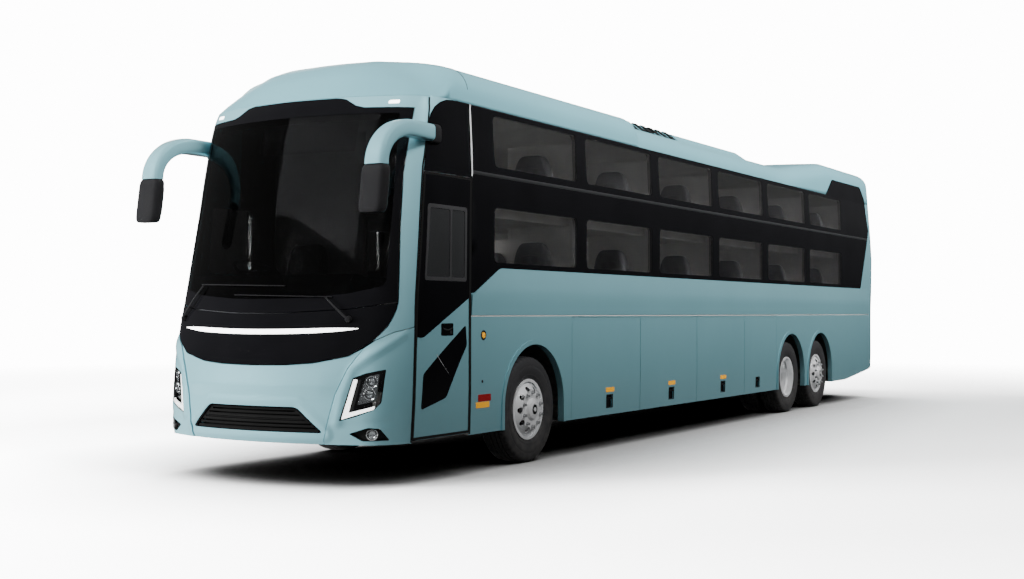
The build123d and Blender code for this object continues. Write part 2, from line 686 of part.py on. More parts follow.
def wheel_arch(radius, y, x0, x1):
    """Round-topped wheel opening of one axle, open at the bottom."""
    top = rod_x(radius, x0, x1, y, ARCH_Z)
    return fused([top, box(x0, x1, y - radius, y + radius, BELOW, ARCH_Z)])


AXLES = (FRONT_AXLE_Y, DRIVE_AXLE_Y, TAG_AXLE_Y)
arch_in_x = half_width(SKIRT_Z) - WALL
flap_ends = [FLAP_FRONT_Y + number * FLAP_PITCH for number in range(FLAP_COUNT)]
flap_ends.append(DRIVE_AXLE_Y - ARCH_R - ARCH_LIP - 10)
below_waist = box(-FAR, FAR, NOSE_Y, REAR_CUT_Y, BELOW, WAIST_Z)
hem_y = TAG_AXLE_Y + HEM_RISE_Y
rear_hem = prism_x([(hem_y, BELOW), (hem_y, SKIRT_Z), (REAR_CUT_Y, HEM_Z), (REAR_CUT_Y, BELOW)], -FAR, FAR)
skirt_left = (side_left & below_waist) - doorway_cut
skirt_right = side_right & below_waist
lips = []
skirts = []
for side, x0, x1 in ((skirt_left, 0, FAR), (skirt_right, -FAR, 0)):
    side = side - box(x0, x1, flap_ends[0], flap_ends[-1], BELOW, WAIST_Z) - rear_hem
    for y in AXLES:
        side = side - wheel_arch(ARCH_R + ARCH_LIP, y, x0, x1)
    skirts += side.solids()
for y in AXLES:
    ring = wheel_arch(ARCH_R + ARCH_LIP, y, arch_in_x, WIDTH / 2)
    ring = ring - wheel_arch(ARCH_R, y, arch_in_x - WALL, FAR)
    lips += both_sides(ring - box(0, FAR, NOSE_Y, TAIL_Y, -FAR, SKIRT_Z))
keep("skirts", skirts)
keep("wheel_arch_lips", lips)

# ================================================================ tail
LID = (800, 640, 1530)     # half width, foot, top
LID_HINGE_R = 6
LID_HINGE_HALF = 250
TAIL_LAMP = (1060, 1215, 1150, 1900)
BUMPER_TOP_Z = 600
FLANGE = 20                # frame behind the engine lid
REAR_WINDOW = (1020, 2080, 3050)
tail_cut = (REAR_CUT_Y, TAIL_Y + WALL)
lid_cut = box(-LID[0], LID[0], TAIL_Y - 400, TAIL_Y + WALL, LID[1], LID[2])
rear_bumper = tail_shell & box(-FAR, FAR, *tail_cut, BELOW, BUMPER_TOP_Z)
rear_hem_cut = prism_x([(REAR_CUT_Y, BELOW), (REAR_CUT_Y, HEM_Z), (TAIL_Y + WALL, TAIL_HEM_Z),
                        (TAIL_Y + WALL, BELOW)], -FAR, FAR)
keep("rear_bumper", rear_bumper - rear_hem_cut)
upper_tail = tail_shell - box(-FAR, FAR, *tail_cut, BELOW, BUMPER_TOP_Z)
rear_pane = (skin & tail_zone) & prism_y([
    (-REAR_WINDOW[0], REAR_WINDOW[1]), (REAR_WINDOW[0], REAR_WINDOW[1]),
    (REAR_WINDOW[0] - 60, REAR_WINDOW[2]), (-REAR_WINDOW[0] + 60, REAR_WINDOW[2]),
], *tail_cut, 60)
panes += rear_pane.solids()
tail_lamps = []
for side in (1, -1):
    x0, x1 = sorted((side * TAIL_LAMP[0], side * TAIL_LAMP[1]))
    lamp_cut = box(x0, x1, TAIL_Y - 300, TAIL_Y + WALL, TAIL_LAMP[2], TAIL_LAMP[3])
    tail_lamps += (upper_tail & lamp_cut).solids()
    upper_tail = upper_tail - lamp_cut
keep("tail_lamps", tail_lamps)
lid_gap = box(-LID[0] - SEAM, LID[0] + SEAM, TAIL_Y - 400, TAIL_Y + WALL, LID[1] - SEAM, LID[2] + SEAM)
flange = cabin - body_loft(BODY_ROWS, WALL + FLANGE, WALL, WALL)
flange = flange & box(-LID[0] - 60, LID[0] + 60, TAIL_Y - 400, TAIL_Y, LID[1] - 60, LID[2] + 60)
flange = flange - box(-LID[0] + 40, LID[0] - 40, TAIL_Y - 400, TAIL_Y, LID[1] + 40, LID[2] - 40)
flange = flange - ((cabin - seat_face) & lid_gap)
keep("rear_wall", fused([upper_tail - lid_gap - rear_pane, flange]))
keep("glazing", panes)
lid_hinge_z = LID[2] + 1
lid_hinge_y = TAIL_Y - at_height(BODY_ROWS, lid_hinge_z, 3) + 2
lid_hinge = rod_x(LID_HINGE_R, -LID_HINGE_HALF, LID_HINGE_HALF, lid_hinge_y, lid_hinge_z)
keep("engine_lid", fused([tail_shell & lid_cut, lid_hinge]))

# ================================================================ door
door = side_left & prism_x(door_outline, 0, FAR)
door_pane_high = prism_x([(front_line(1742) + 85, 1742), (DOOR_REAR_Y - 65, 1742), (DOOR_REAR_Y - 65, 2430),
                          (front_line(2430) + 50, 2430)], 0, FAR, 35)
door_pane_low = prism_x([(front_line(648) + 130, 648), (DOOR_REAR_Y - 410, 733), (DOOR_REAR_Y - 70, 1180),
                         (DOOR_REAR_Y - 90, 1350), (front_line(940) + 150, 940)], 0, FAR, 35)
door_glass = (skin & door_pane_high).solids() + (skin & door_pane_low).solids()
door_holes = [prism_x([(front_line(1742) + 115, 1772), (DOOR_REAR_Y - 95, 1772), (DOOR_REAR_Y - 95, 2400),
                       (front_line(2430) + 80, 2400)], 0, FAR, 30),
              prism_x([(front_line(648) + 160, 690), (DOOR_REAR_Y - 440, 770), (DOOR_REAR_Y - 110, 1190),
                       (DOOR_REAR_Y - 125, 1300), (front_line(940) + 180, 930)], 0, FAR, 25)]
door = door - door_glass - door_holes
door_pivot = Vector(DOOR_PIVOT_X, DOOR_PIVOT_Y)
leaf_pivot = door_pivot + Vector(0, DOOR_ARM)
bracket_x = half_width(DOOR_ARM_Z) - WALL
bracket = fused([
    rod_z(DOOR_PIN_R, DOOR_ARM_Z - DOOR_ARM_THICK, DOOR_ARM_Z + DOOR_ARM_THICK, leaf_pivot.X, leaf_pivot.Y),
    box(leaf_pivot.X - 20, bracket_x, leaf_pivot.Y - 20, leaf_pivot.Y + 20,
        DOOR_ARM_Z + DOOR_ARM_THICK / 2 + FIT, DOOR_ARM_Z + DOOR_ARM_THICK / 2 + 30),
    box(leaf_pivot.X - 20, bracket_x, leaf_pivot.Y - 20, leaf_pivot.Y + 20,
        DOOR_ARM_Z - DOOR_ARM_THICK / 2 - 30, DOOR_ARM_Z - DOOR_ARM_THICK / 2 - FIT),
])
keep("door_leaf", fused([door, bracket]))
keep("door_glass", door_glass)


def turned(point, degree):
    """A plan offset turned back about the body pivot from open to shut."""
    across, along = cos(radians(degree)), sin(radians(degree))
    return Vector(point[0] * across - point[1] * along, point[0] * along + point[1] * across)


elbow = door_pivot + turned((DOOR_ARM_ELBOW[0], -DOOR_ARM_ELBOW[1]), DOOR_SWING)
arm_low = DOOR_ARM_Z - DOOR_ARM_THICK / 2
arm_high = DOOR_ARM_Z + DOOR_ARM_THICK / 2


def link(start, end):
    """Bar with round ends between two plan points."""
    along = (end - start).normalized()
    across = Vector(-along.Y, along.X) * DOOR_ARM_THICK / 2
    bar = prism_z([((start + across).X, (start + across).Y), ((end + across).X, (end + across).Y),
                   ((end - across).X, (end - across).Y), ((start - across).X, (start - across).Y)],
                  arm_low, arm_high)
    return fused([bar, rod_z(DOOR_ARM_THICK / 2, arm_low, arm_high, start.X, start.Y),
                  rod_z(DOOR_ARM_THICK / 2, arm_low, arm_high, end.X, end.Y)])


arm = fused([link(door_pivot, elbow), link(elbow, leaf_pivot)])
for pivot in (door_pivot, leaf_pivot):
    arm = arm - rod_z(DOOR_PIN_R + FIT / 4, arm_low - 1, arm_high + 1, pivot.X, pivot.Y)
keep("door_arm", arm)

# ================================================================ luggage flaps
for side, label in ((1, "left"), (-1, "right")):
    shells = side_left if side > 0 else side_right
    for number in range(FLAP_COUNT):
        front, rear = flap_ends[number] + SEAM / 2, flap_ends[number + 1] - SEAM / 2
        x0, x1 = sorted((0, side * FAR))
        flap = shells & box(x0, x1, front, rear, SKIRT_Z, WAIST_Z - SEAM)
        grip_y = rear - FLAP_HANDLE_FROM_REAR
        face_x = half_width(FLAP_HANDLE_Z)
        x0, x1 = sorted((side * (face_x - FLAP_HANDLE[2]), side * FAR))
        grip = box(x0, x1, grip_y - FLAP_HANDLE[0] / 2, grip_y + FLAP_HANDLE[0] / 2,
                   FLAP_HANDLE_Z - FLAP_HANDLE[1] / 2, FLAP_HANDLE_Z + FLAP_HANDLE[1] / 2)
        barrel = rod_y(HINGE_R, front, rear, side * half_width(HINGE_Z), HINGE_Z)
        keep("luggage_flap_%s_%d" % (label, number + 1), fused([flap - grip, barrel]))

# ================================================================ wheels
LIP = TYRE_WIDTH / 2 - 34          # half the rim's width between flanges
WHEEL_FACE = TWIN_PITCH / 2        # bolting face from the tyre's middle plane
BORE_R = SPINDLE_R + SPINDLE_FIT


def lathe_x(outline, x, y, z):
    """Solid of revolution about the X axis through a point, outline of (x, radius)."""
    points = [Vector(x + across, y, z + radius) for across, radius in outline]
    face = Face(Wire.make_polygon(points, close=True))
    return Solid.revolve(face, 360, Axis((x, y, z), (1, 0, 0)))


def tyre(x, y):
    """Tyre about its middle plane: beads, bulged walls, shoulders and tread."""
    half = TYRE_WIDTH / 2
    wall = [(LIP, RIM_SEAT_R), (LIP, RIM_R + 14), (half, 400), (half - 8, 478), (half - 26, 512)]
    outline = wall + [(half - 60, TYRE_R), (-half + 60, TYRE_R)] + [(-a, r) for a, r in reversed(wall)]
    return lathe_x(outline, x, y, TYRE_R)


def rim(x, y, facing):
    """Rim about the tyre's middle plane, its dished disc bulging to the facing side."""
    well = RIM_SEAT_R - WELL
    outer = [(-LIP - 12, RIM_R), (-LIP, RIM_R), (-LIP, RIM_SEAT_R), (-50, RIM_SEAT_R), (-35, well),
             (35, well), (50, RIM_SEAT_R), (LIP, RIM_SEAT_R), (LIP, RIM_R), (LIP + 12, RIM_R)]
    inner = [(LIP + 12, RIM_SEAT_R - BARREL), (50, RIM_SEAT_R - BARREL), (35, well - BARREL),
             (-35, well - BARREL), (-50, RIM_SEAT_R - BARREL), (-LIP - 12, RIM_SEAT_R - BARREL)]
    barrel = lathe_x([(facing * a, r) for a, r in outer + inner], x, y, TYRE_R)
    face, back = WHEEL_FACE, WHEEL_FACE - DISC
    dish = [(face, BORE_R), (face, STUD_PITCH_R + 30), (face - 40, 243), (face - 80, RIM_SEAT_R - BARREL / 2),
            (back - 84, RIM_SEAT_R - BARREL / 2), (back - 44, 238), (back, STUD_PITCH_R + 28), (back, BORE_R)]
    plate = lathe_x([(facing * a, r) for a, r in dish], x, y, TYRE_R)
    for number in range(STUDS):
        angle = radians(360 / STUDS * (number + 0.5))
        plate = plate - rod_x(HAND_HOLE_R, x - 2 * face, x + 2 * face, y + HAND_HOLE_PITCH_R * sin(angle),
                              TYRE_R + HAND_HOLE_PITCH_R * cos(angle))
    return fused([barrel, plate])


def hub(x, y, side, outline):
    """Hub parts turned about the axle, outline of (distance outward from x, radius)."""
    return lathe_x([(side * a, r) for a, r in outline], x, y, TYRE_R)


# hub drum behind the bolting face and its cap outside it, for single and twin wheels
DRUM_IN = 15 - LIP         # inner face of the drum from the tyre's middle plane
SINGLE_DRUM = ((WHEEL_FACE - DISC, BORE_R), (WHEEL_FACE - DISC, HUB_R), (DRUM_IN, HUB_R), (DRUM_IN, BORE_R))
SINGLE_CAP = ((WHEEL_FACE, 0), (WHEEL_FACE + 34, 0), (WHEEL_FACE + 34, 60), (WHEEL_FACE + 22, 92),
              (WHEEL_FACE, 112))
TWIN_DRUM = ((-WHEEL_FACE - DISC, BORE_R), (-WHEEL_FACE - DISC, HUB_R), (DRUM_IN - TWIN_PITCH, HUB_R),
             (DRUM_IN - TWIN_PITCH, BORE_R))
TWIN_CAP = ((DISC - WHEEL_FACE, 0), (0, 0), (0, 76), (-20, 112), (DISC - WHEEL_FACE, 130))
WHEELS = (("front", FRONT_AXLE_Y), ("drive", DRIVE_AXLE_Y), ("tag", TAG_AXLE_Y))
for label, y in WHEELS:
    for side, hand in ((1, "left"), (-1, "right")):
        name = "%s_%s" % (label, hand)
        x = side * TYRE_X
        if label == "drive":
            inner_x = side * (TYRE_X - TWIN_PITCH)
            keep("tyre_" + name, tyre(x, y), tyre(inner_x, y))
            keep("rim_" + name, fused([rim(x, y, -side), rim(inner_x, y, side), hub(x, y, side, TWIN_DRUM),
                                       hub(x, y, side, TWIN_CAP)]))
        else:
            keep("tyre_" + name, tyre(x, y))
            keep("rim_" + name, fused([rim(x, y, side), hub(x, y, side, SINGLE_DRUM),
                                       hub(x, y, side, SINGLE_CAP)]))

# ================================================================ axles and knuckles
SINGLE_SPINDLE_X = TYRE_X + WHEEL_FACE - 1
TWIN_SPINDLE_X = TYRE_X - WHEEL_FACE + DISC - 1
RAIL_TOP_Z = RAIL_Z + RAIL_HEIGHT
bellows_x = RAIL_IN_X + RAIL / 2


def bellows(y, foot_z):
    """Air springs of one axle, from their perch up to the rails."""
    return [rod_z(BELLOWS_R, foot_z, RAIL_Z, side * bellows_x, y) for side in (1, -1)]


beam = [box(-KINGPIN_X, KINGPIN_X, FRONT_AXLE_Y - 45, FRONT_AXLE_Y + 45, EYE_Z[0] + 15, EYE_Z[1] - 15)]
beam += [rod_z(EYE_R, *EYE_Z, side * KINGPIN_X, FRONT_AXLE_Y) for side in (1, -1)]
beam += bellows(FRONT_AXLE_Y, EYE_Z[0] + 20)
front_axle = fused(beam)
for side in (1, -1):
    front_axle -= rod_z(KINGPIN_R + PIN_FIT, EYE_Z[0] - 1, EYE_Z[1] + 1, side * KINGPIN_X, FRONT_AXLE_Y)
keep("front_axle", front_axle)
for side, hand in ((1, "left"), (-1, "right")):
    x = side * KINGPIN_X
    web_in, web_out = KINGPIN_X + EYE_R + 5, TYRE_X - LIP + 8
    pieces = []
    for low, high in ((EYE_Z[0] - LUG, EYE_Z[0] - FIT), (EYE_Z[1] + FIT, EYE_Z[1] + LUG)):
        x0, x1 = sorted((x, side * web_out))
        pieces += [rod_z(EYE_R, low, high, x, FRONT_AXLE_Y),
                   box(x0, x1, FRONT_AXLE_Y - EYE_R, FRONT_AXLE_Y + EYE_R, low, high)]
    x0, x1 = sorted((side * web_in, side * web_out))
    pieces.append(box(x0, x1, FRONT_AXLE_Y - 70, FRONT_AXLE_Y + 70, EYE_Z[0] - LUG, EYE_Z[1] + LUG))
    x0, x1 = sorted((side * web_in, side * SINGLE_SPINDLE_X))
    pieces.append(rod_x(SPINDLE_R, x0, x1, FRONT_AXLE_Y, TYRE_R))
    pieces.append(rod_z(KINGPIN_R, EYE_Z[0] - LUG, EYE_Z[1] + LUG, x, FRONT_AXLE_Y))
    keep("knuckle_" + hand, fused(pieces))

tube_end = TYRE_X - TWIN_PITCH - LIP - 20
half_housing = [(DIFFERENTIAL_R / 3, DIFFERENTIAL_R), (DIFFERENTIAL_R * 0.75, DIFFERENTIAL_R * 0.72),
                (DIFFERENTIAL_R, HOUSING_R), (tube_end, HOUSING_R), (tube_end, SPINDLE_R),
                (TWIN_SPINDLE_X, SPINDLE_R)]
housing = [(TWIN_SPINDLE_X, 0), (-TWIN_SPINDLE_X, 0)] + mirrored(half_housing) + half_housing
housing = lathe_x(housing, 0, DRIVE_AXLE_Y, TYRE_R)
keep("drive_axle", fused([housing] + bellows(DRIVE_AXLE_Y, TYRE_R)))
tube = [rod_x(SPINDLE_R, -SINGLE_SPINDLE_X, SINGLE_SPINDLE_X, TAG_AXLE_Y, TYRE_R),
        rod_x(HOUSING_R, 20 - TYRE_X + LIP, TYRE_X - LIP - 20, TAG_AXLE_Y, TYRE_R)]
keep("tag_axle", fused(tube + bellows(TAG_AXLE_Y, TYRE_R)))

# ================================================================ deck, cab floor and steps
def inside(shape):
    """The part of a shape within the inner faces of the walls."""
    return shape & cabin


step_rear_y = DOOR_REAR_Y - 20
step_front_y = front_line(CAB_Z) + 90
cab_top = CAB_Z + CAB_FLOOR
floors = [inside(box(-FAR, FAR, CAB_REAR_Y, TAIL_Y - LID_ROOM, DECK_Z, DECK_Z + DECK)),
          inside(box(-FAR, FAR, CAB_REAR_Y, CAB_REAR_Y + STEP, CAB_Z, DECK_Z - FIT)),
          inside(box(-FAR, STEP_X, NOSE_Y, CAB_REAR_Y - FIT, CAB_Z, cab_top)),
          inside(box(STEP_X + FIT, FAR, NOSE_Y, step_front_y, CAB_Z, cab_top)),
          inside(box(STEP_X + FIT, FAR, step_rear_y, CAB_REAR_Y - FIT, CAB_Z, cab_top))]
step_rise = (CAB_Z - FIT - STEP_Z) / STEP_COUNT
steps = []
for number in range(STEP_COUNT):
    x = STEP_X + number * STEP_GOING
    z = CAB_Z - FIT - (number + 1) * step_rise
    steps.append(box(x - STEP, x, step_front_y, step_rear_y, z, z + step_rise))
    steps.append(box(x - STEP, x + STEP_GOING, step_front_y, step_rear_y, z - STEP, z))
floors.append(fused(steps))
keep("floor_deck", *floors)

dash = inside(prism_x([(NOSE_Y, cab_top), (DASH_Y - 90, cab_top), (DASH_Y, 1560), (DASH_Y - 60, 1760),
                       (DASH_Y - 340, 1805), (DASH_Y - 470, 1640), (NOSE_Y, 1560)], -FAR, DASH_X))
keep("dashboard", dash)

SEAT = (-690, FRONT_AXLE_Y - 1360, cab_top)     # middle of the driver's seat on the cab floor
seat_outline = [(-170, 0), (170, 0), (170, 240), (250, 260), (330, 980), (250, 1010), (210, 990), (150, 390),
                (-270, 400), (-280, 280), (-170, 240)]
seat = prism_x([(SEAT[1] + y, SEAT[2] + z) for y, z in seat_outline], SEAT[0] - 240, SEAT[0] + 240)
keep("driver_seat", seat.fillet(22, seat.edges().filter_by(Axis.X).filter_by_position(
    Axis.Z, SEAT[2] + 250, SEAT[2] + 2000)))
steering_centre = Vector(SEAT[0], SEAT[1] - 450, SEAT[2] + 735)
steering_tilt = Plane(steering_centre, x_dir=(1, 0, 0), z_dir=(0, 0.5, 1))
ring = Solid.make_torus(STEERING_R, STEERING_GRIP, steering_tilt)
spoke_face = Face(Wire.make_rect(2 * STEERING_R, 2 * STEERING_GRIP, steering_tilt.offset(-STEERING_GRIP / 2)))
spoke = Solid.extrude(spoke_face, steering_tilt.z_dir * STEERING_GRIP)
column = Solid.make_cylinder(38, 2 * STEERING_R, Plane(steering_centre, z_dir=-steering_tilt.z_dir))
keep("steering_wheel", fused([ring, spoke, column]) - dash)

# ================================================================ berths
deck_top = DECK_Z + DECK
berth_sides = ((AISLE_X + AISLE_HALF, BERTH_OUT_X, 1), (-BERTH_OUT_X, AISLE_X - AISLE_HALF, 2))
berths = []
mattresses = []
for x0, x1, sleepers in berth_sides:
    wall_x0, wall_x1 = (x0, FAR) if x0 > 0 else (-FAR, x1)
    for y in pillars:
        berths += inside(box(wall_x0, wall_x1, y - PARTITION / 2, y + PARTITION / 2, deck_top,
                             PARTITION_TOP_Z)).solids()
    for front, rear in zip(pillars, pillars[1:]):
        low, high = front + PARTITION / 2 + FIT, rear - PARTITION / 2 - FIT
        for top, underside in BERTH_LEVELS:
            berths.append(box(x0, x1, low, high, underside, top))
            pad = box(x0 + MATTRESS_GAP, x1 - MATTRESS_GAP, low + MATTRESS_GAP, high - MATTRESS_GAP,
                      top + FIT, top + MATTRESS)
            mattresses.append(pad.fillet(MATTRESS_R, pad.edges().filter_by(Axis.Z)))
            for number in range(sleepers):
                x = x0 + (x1 - x0) * (number + 0.5) / sleepers
                foot, head, height, thick = BACKREST
                z = top + MATTRESS + FIT
                rear_y = high - MATTRESS_GAP
                outline = [(x - foot / 2, z), (x + foot / 2, z), (x + head / 2, z + height),
                           (x - head / 2, z + height)]
                mattresses.append(prism_y(outline, rear_y - thick, rear_y, 50))
keep("berths", berths)
keep("mattresses", mattresses)

# ================================================================ luggage hold and underframe
hold_front = flap_ends[0] - 15
hold_rear = DRIVE_AXLE_Y - LINER_R - LINER - 2
post_x = half_width(SKIRT_Z) - WALL - POST
hold_top = HOLD_Z + HOLD_FLOOR + FIT
hold = [box(-FAR, FAR, hold_front, hold_rear, HOLD_Z, HOLD_Z + HOLD_FLOOR),
        box(-FAR, FAR, hold_front, hold_front + BULKHEAD, hold_top, DECK_Z),
        box(-FAR, FAR, hold_rear - BULKHEAD, hold_rear, hold_top, DECK_Z)]
for y in flap_ends[1:-1]:
    for x0, x1 in ((post_x, FAR), (-FAR, -post_x)):
        hold.append(box(x0, x1, y - POST / 2, y + POST / 2, hold_top, DECK_Z))
keep("luggage_hold", [solid for piece in hold for solid in (piece & seat_face).solids()])

liners = []
for y in AXLES:
    ring = wheel_arch(LINER_R + LINER, y, LINER_IN_X, FAR) - wheel_arch(LINER_R, y, LINER_IN_X - 1, FAR + 1)
    plate = wheel_arch(LINER_R + LINER, y, LINER_IN_X - LINER, LINER_IN_X)
    plate = plate - box(0, FAR, y - LINER_R, y + LINER_R, BELOW - WALL, LINER_FOOT_Z)
    ring = inside(fused([ring, plate])) - box(0, FAR, NOSE_Y, TAIL_Y, -FAR, SKIRT_Z)
    liners += both_sides(ring)
keep("wheel_housings", liners)

frame_front = NOSE_Y + FRAME_SETBACK
frame_rear = TAIL_Y - LID_ROOM - 60
tail_beam_y = TAG_AXLE_Y + LINER_R + 60
cab_beam_y = FRONT_AXLE_Y - 800
underframe = []
for side in (1, -1):
    x0, x1 = sorted((side * RAIL_IN_X, side * (RAIL_IN_X + RAIL)))
    for front, rear in ((frame_front, hold_front), (hold_rear, frame_rear)):
        underframe.append(box(x0, x1, front, rear, RAIL_Z, RAIL_TOP_Z))
    # foot of each post, and the floor above it
    for y, top in ((frame_front + 170, CAB_Z), (CAB_REAR_Y - 120, CAB_Z), (tail_beam_y, DECK_Z),
                   (frame_rear - 300, DECK_Z)):
        underframe.append(box(x0, x1, y, y + RAIL, RAIL_TOP_Z + FIT, top))
    for y in (FRONT_AXLE_Y + 200, TAG_AXLE_Y + 260):
        underframe.append(box(x0, x1, y, y + PAD, RAIL_Z - PAD_DEPTH, RAIL_Z - FIT))
    x0, x1 = sorted((side * (RAIL_IN_X + RAIL + FIT), side * FAR))
    for y in (frame_front, cab_beam_y, tail_beam_y):
        underframe += inside(box(x0, x1, y, y + RAIL, RAIL_Z, RAIL_TOP_Z)).solids()
for y in (frame_front, cab_beam_y, FRONT_AXLE_Y + 500, DRIVE_AXLE_Y - 480, TAG_AXLE_Y + 420,
          tail_beam_y, frame_rear - RAIL):
    underframe.append(box(FIT - RAIL_IN_X, RAIL_IN_X - FIT, y, y + RAIL, RAIL_Z, RAIL_TOP_Z))
# towing jaws: a block under the end cross member and a tongue with an upright pin hole
jaw = TOW_R + TOW_WALL
for beam_y, end_y, facing in ((frame_front, frame_front, -1), (frame_rear - RAIL, frame_rear, 1)):
    eye_y = end_y + facing * TOW_REACH
    y0, y1 = sorted((beam_y if facing > 0 else beam_y + RAIL, eye_y))
    tongue = fused([box(TOW_X - jaw, TOW_X + jaw, y0, y1, TOW_Z - TOW_TONGUE / 2, TOW_Z + TOW_TONGUE / 2),
                    rod_z(jaw, TOW_Z - TOW_TONGUE / 2, TOW_Z + TOW_TONGUE / 2, TOW_X, eye_y),
                    box(TOW_X - jaw, TOW_X + jaw, beam_y, beam_y + RAIL, TOW_Z, RAIL_Z - FIT)])
    underframe.append(tongue - rod_z(TOW_R, TOW_Z - TOW_TONGUE, TOW_Z + TOW_TONGUE, TOW_X, eye_y))
keep("underframe", underframe)
between_rails = RAIL_IN_X - FIT
engine_y = tail_beam_y + RAIL + FIT, frame_rear - RAIL - 60
keep("engine", box(-between_rails, between_rails, *engine_y, *ENGINE_Z))
keep("fuel_tank", box(-between_rails, between_rails, NOSE_Y + TANK_SETBACK, cab_beam_y - FIT, *TANK_Z))

os.makedirs("parts", exist_ok=True)
for name, compound in parts.items():
    export_step(compound, "parts/%s.step" % name)
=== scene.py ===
import json
import math

import bmesh
import bpy
import numpy as np
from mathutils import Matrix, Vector
from mathutils.geometry import delaunay_2d_cdt

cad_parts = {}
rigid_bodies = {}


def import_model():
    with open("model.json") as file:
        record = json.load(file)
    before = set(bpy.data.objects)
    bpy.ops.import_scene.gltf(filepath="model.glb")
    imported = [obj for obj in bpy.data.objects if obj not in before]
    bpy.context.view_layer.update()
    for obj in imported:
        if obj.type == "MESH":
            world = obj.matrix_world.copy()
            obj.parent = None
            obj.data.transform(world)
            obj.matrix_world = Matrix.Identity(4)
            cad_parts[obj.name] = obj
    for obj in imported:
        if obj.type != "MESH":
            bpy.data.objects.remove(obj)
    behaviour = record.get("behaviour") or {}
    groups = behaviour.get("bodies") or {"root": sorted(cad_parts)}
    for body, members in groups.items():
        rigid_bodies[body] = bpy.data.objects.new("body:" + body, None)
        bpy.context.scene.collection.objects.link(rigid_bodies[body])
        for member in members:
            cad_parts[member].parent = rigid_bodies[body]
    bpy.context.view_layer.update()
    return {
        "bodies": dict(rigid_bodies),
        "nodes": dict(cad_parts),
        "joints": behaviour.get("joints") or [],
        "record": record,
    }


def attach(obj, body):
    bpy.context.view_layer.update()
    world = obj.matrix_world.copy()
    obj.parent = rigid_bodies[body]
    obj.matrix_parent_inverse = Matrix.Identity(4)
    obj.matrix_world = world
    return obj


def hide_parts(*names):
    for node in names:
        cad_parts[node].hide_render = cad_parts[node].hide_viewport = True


bl_info = {
    "name": "Sleeper coach dressing",
    "version": (1, 0, 0),
    "blender": (4, 5, 0),
    "location": "View3D > Sidebar > Coach",
    "description": "Panels, glass, lamps, wheels, cabin and stage of a three-axle sleeper coach",
    "category": "Add Mesh",
}

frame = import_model()

# ---------------------------------------------------------------- body tables, millimetres
MM = 0.001
NOSE, TAIL, HALF = -7500.0, 7500.0, 1300.0
FA, DRIVE, TAG = -4780.0, 2980.0, 4380.0      # the three axles
EAVES = 3370.0                                # foot of the roof
SKIRT = 365                                   # lower edge of the nose
NOSE_BOW, NOSE_TURN = 2620.0, 400.0
TAIL_BOW, TAIL_TURN = 14000.0, 110.0
# height, narrower than the widest point, nose set back, tail set back
ROWS = np.array([
    (SKIRT, 20, 20, 110), (560, 14, 0, 70), (770, 10, 12, 60), (1040, 10, 35, 60), (1338, 10, 95, 60),
    (1570, 10, 152, 50), (1890, 8, 225, 15), (2400, 4, 340, 0), (2750, 0, 412, 85), (3250, 20, 530, 150),
    (EAVES, 25, 588, 165), (3500, 25, 675, 200), (3600, 25, 765, 230), (3700, 25, 910, 265),
    (3780, 25, 1120, 290), (3840, 25, 1480, 330), (3900, 25, 2100, 390), (4000, 25, 3600, 900),
], float)
DOOR_LINE = np.array([(SKIRT, FA - 2114), (1546, FA - 2057), (2720, FA - 1905), (EAVES, FA - 1750)])
DOOR_REAR = FA - 1190
WAIST_REAR = 7148                             # rear end of the line below the shoulder
SCREEN_FOOT = ((0, 1466), (320, 1470), (858, 1500), (1218, 1560))
MASK_FOOT = ((0, 1022), (356, 1028), (610, 1047), (907, 1107), (1030, 1175), (1115, 1244), (1221, 1309))
MASK_SIDE = ((1094, 1235), (1135, 1289), (1177, 1354), (1198, 1422), (1213, 1494), (1218, 1560))
BUMPER_SIDE = ((732, 365), (732, 397), (825, 787), (918, 1004), (1030, 1175))
SCREEN_SIDE = ((1218, 1560), (1171, 2237), (1150, 2671), (1159, 3250))
VISOR = ((1159, 3253), (751, 3260), (673, 3280), (559, 3345), (466, 3362))
VIEW_SIDE = ((1128, 1700), (1095, 2546), (1070, 3120))
VIEW_FOOT = ((0, 1590), (320, 1594), (824, 1630))
CREASE = ((1262, 1290), (1070, 1100), (958, 1000), (884, 785), (846, 560))
LAMP = ((868, 567), (994, 602), (1136, 662), (1180, 721), (1198, 1000), (1060, 965), (964, 925))
POD = ((943, 463), (1047, 400), (1219, 406), (1173, 506), (1094, 514))
INTAKE = ((-730, 462), (730, 462), (487, 676), (-487, 676))
WIPERS = (((877, 1416), (657, 1606), (-354, 1628)), ((-1047, 1420), (-751, 1723), (305, 1700)))
MIRROR_X, HEAD_TOP, HEAD_RISE, HEAD_FRONT, HEAD_LEAN = 1262, 2689, 400, FA - 2718, 56
BAYS, PITCH, LENGTH, FIRST = 6, 1882, 1660, FA - 775       # side windows
LOW, HIGH = (1940, 2455), (2835, 3320)
DOME = 2670                                   # where the roof starts to rise to its rear dome
FLAP_FRONT, FLAP = 784, 1675                  # first luggage flap behind the front axle, and their spacing
REAR_EDGE = np.array([(1890, FA + 11425), (2902, FA + 11908), (3428, FA + 11747), (3672, FA + 11459)])
TYRE_R, TYRE_X, TWIN, WHEEL_FACE = 522.0, 1092.0, 334.0, 167.0
NUTS, NUT_CIRCLE, HOLE_CIRCLE = 10, 168, 205


# ---------------------------------------------------------------- body surface
def slopes(heights, values):
    """Slope at each row: the harmonic mean of its neighbours' slopes, 0 where they turn."""
    step = np.diff(values) / np.diff(heights)
    slope = np.zeros(len(values))
    slope[0], slope[-1] = step[0], step[-1]
    same = step[:-1] * step[1:] > 0
    both = np.where(same, step[:-1] + step[1:], 1)
    slope[1:-1] = np.where(same, 2 * step[:-1] * step[1:] / both, 0)
    return slope


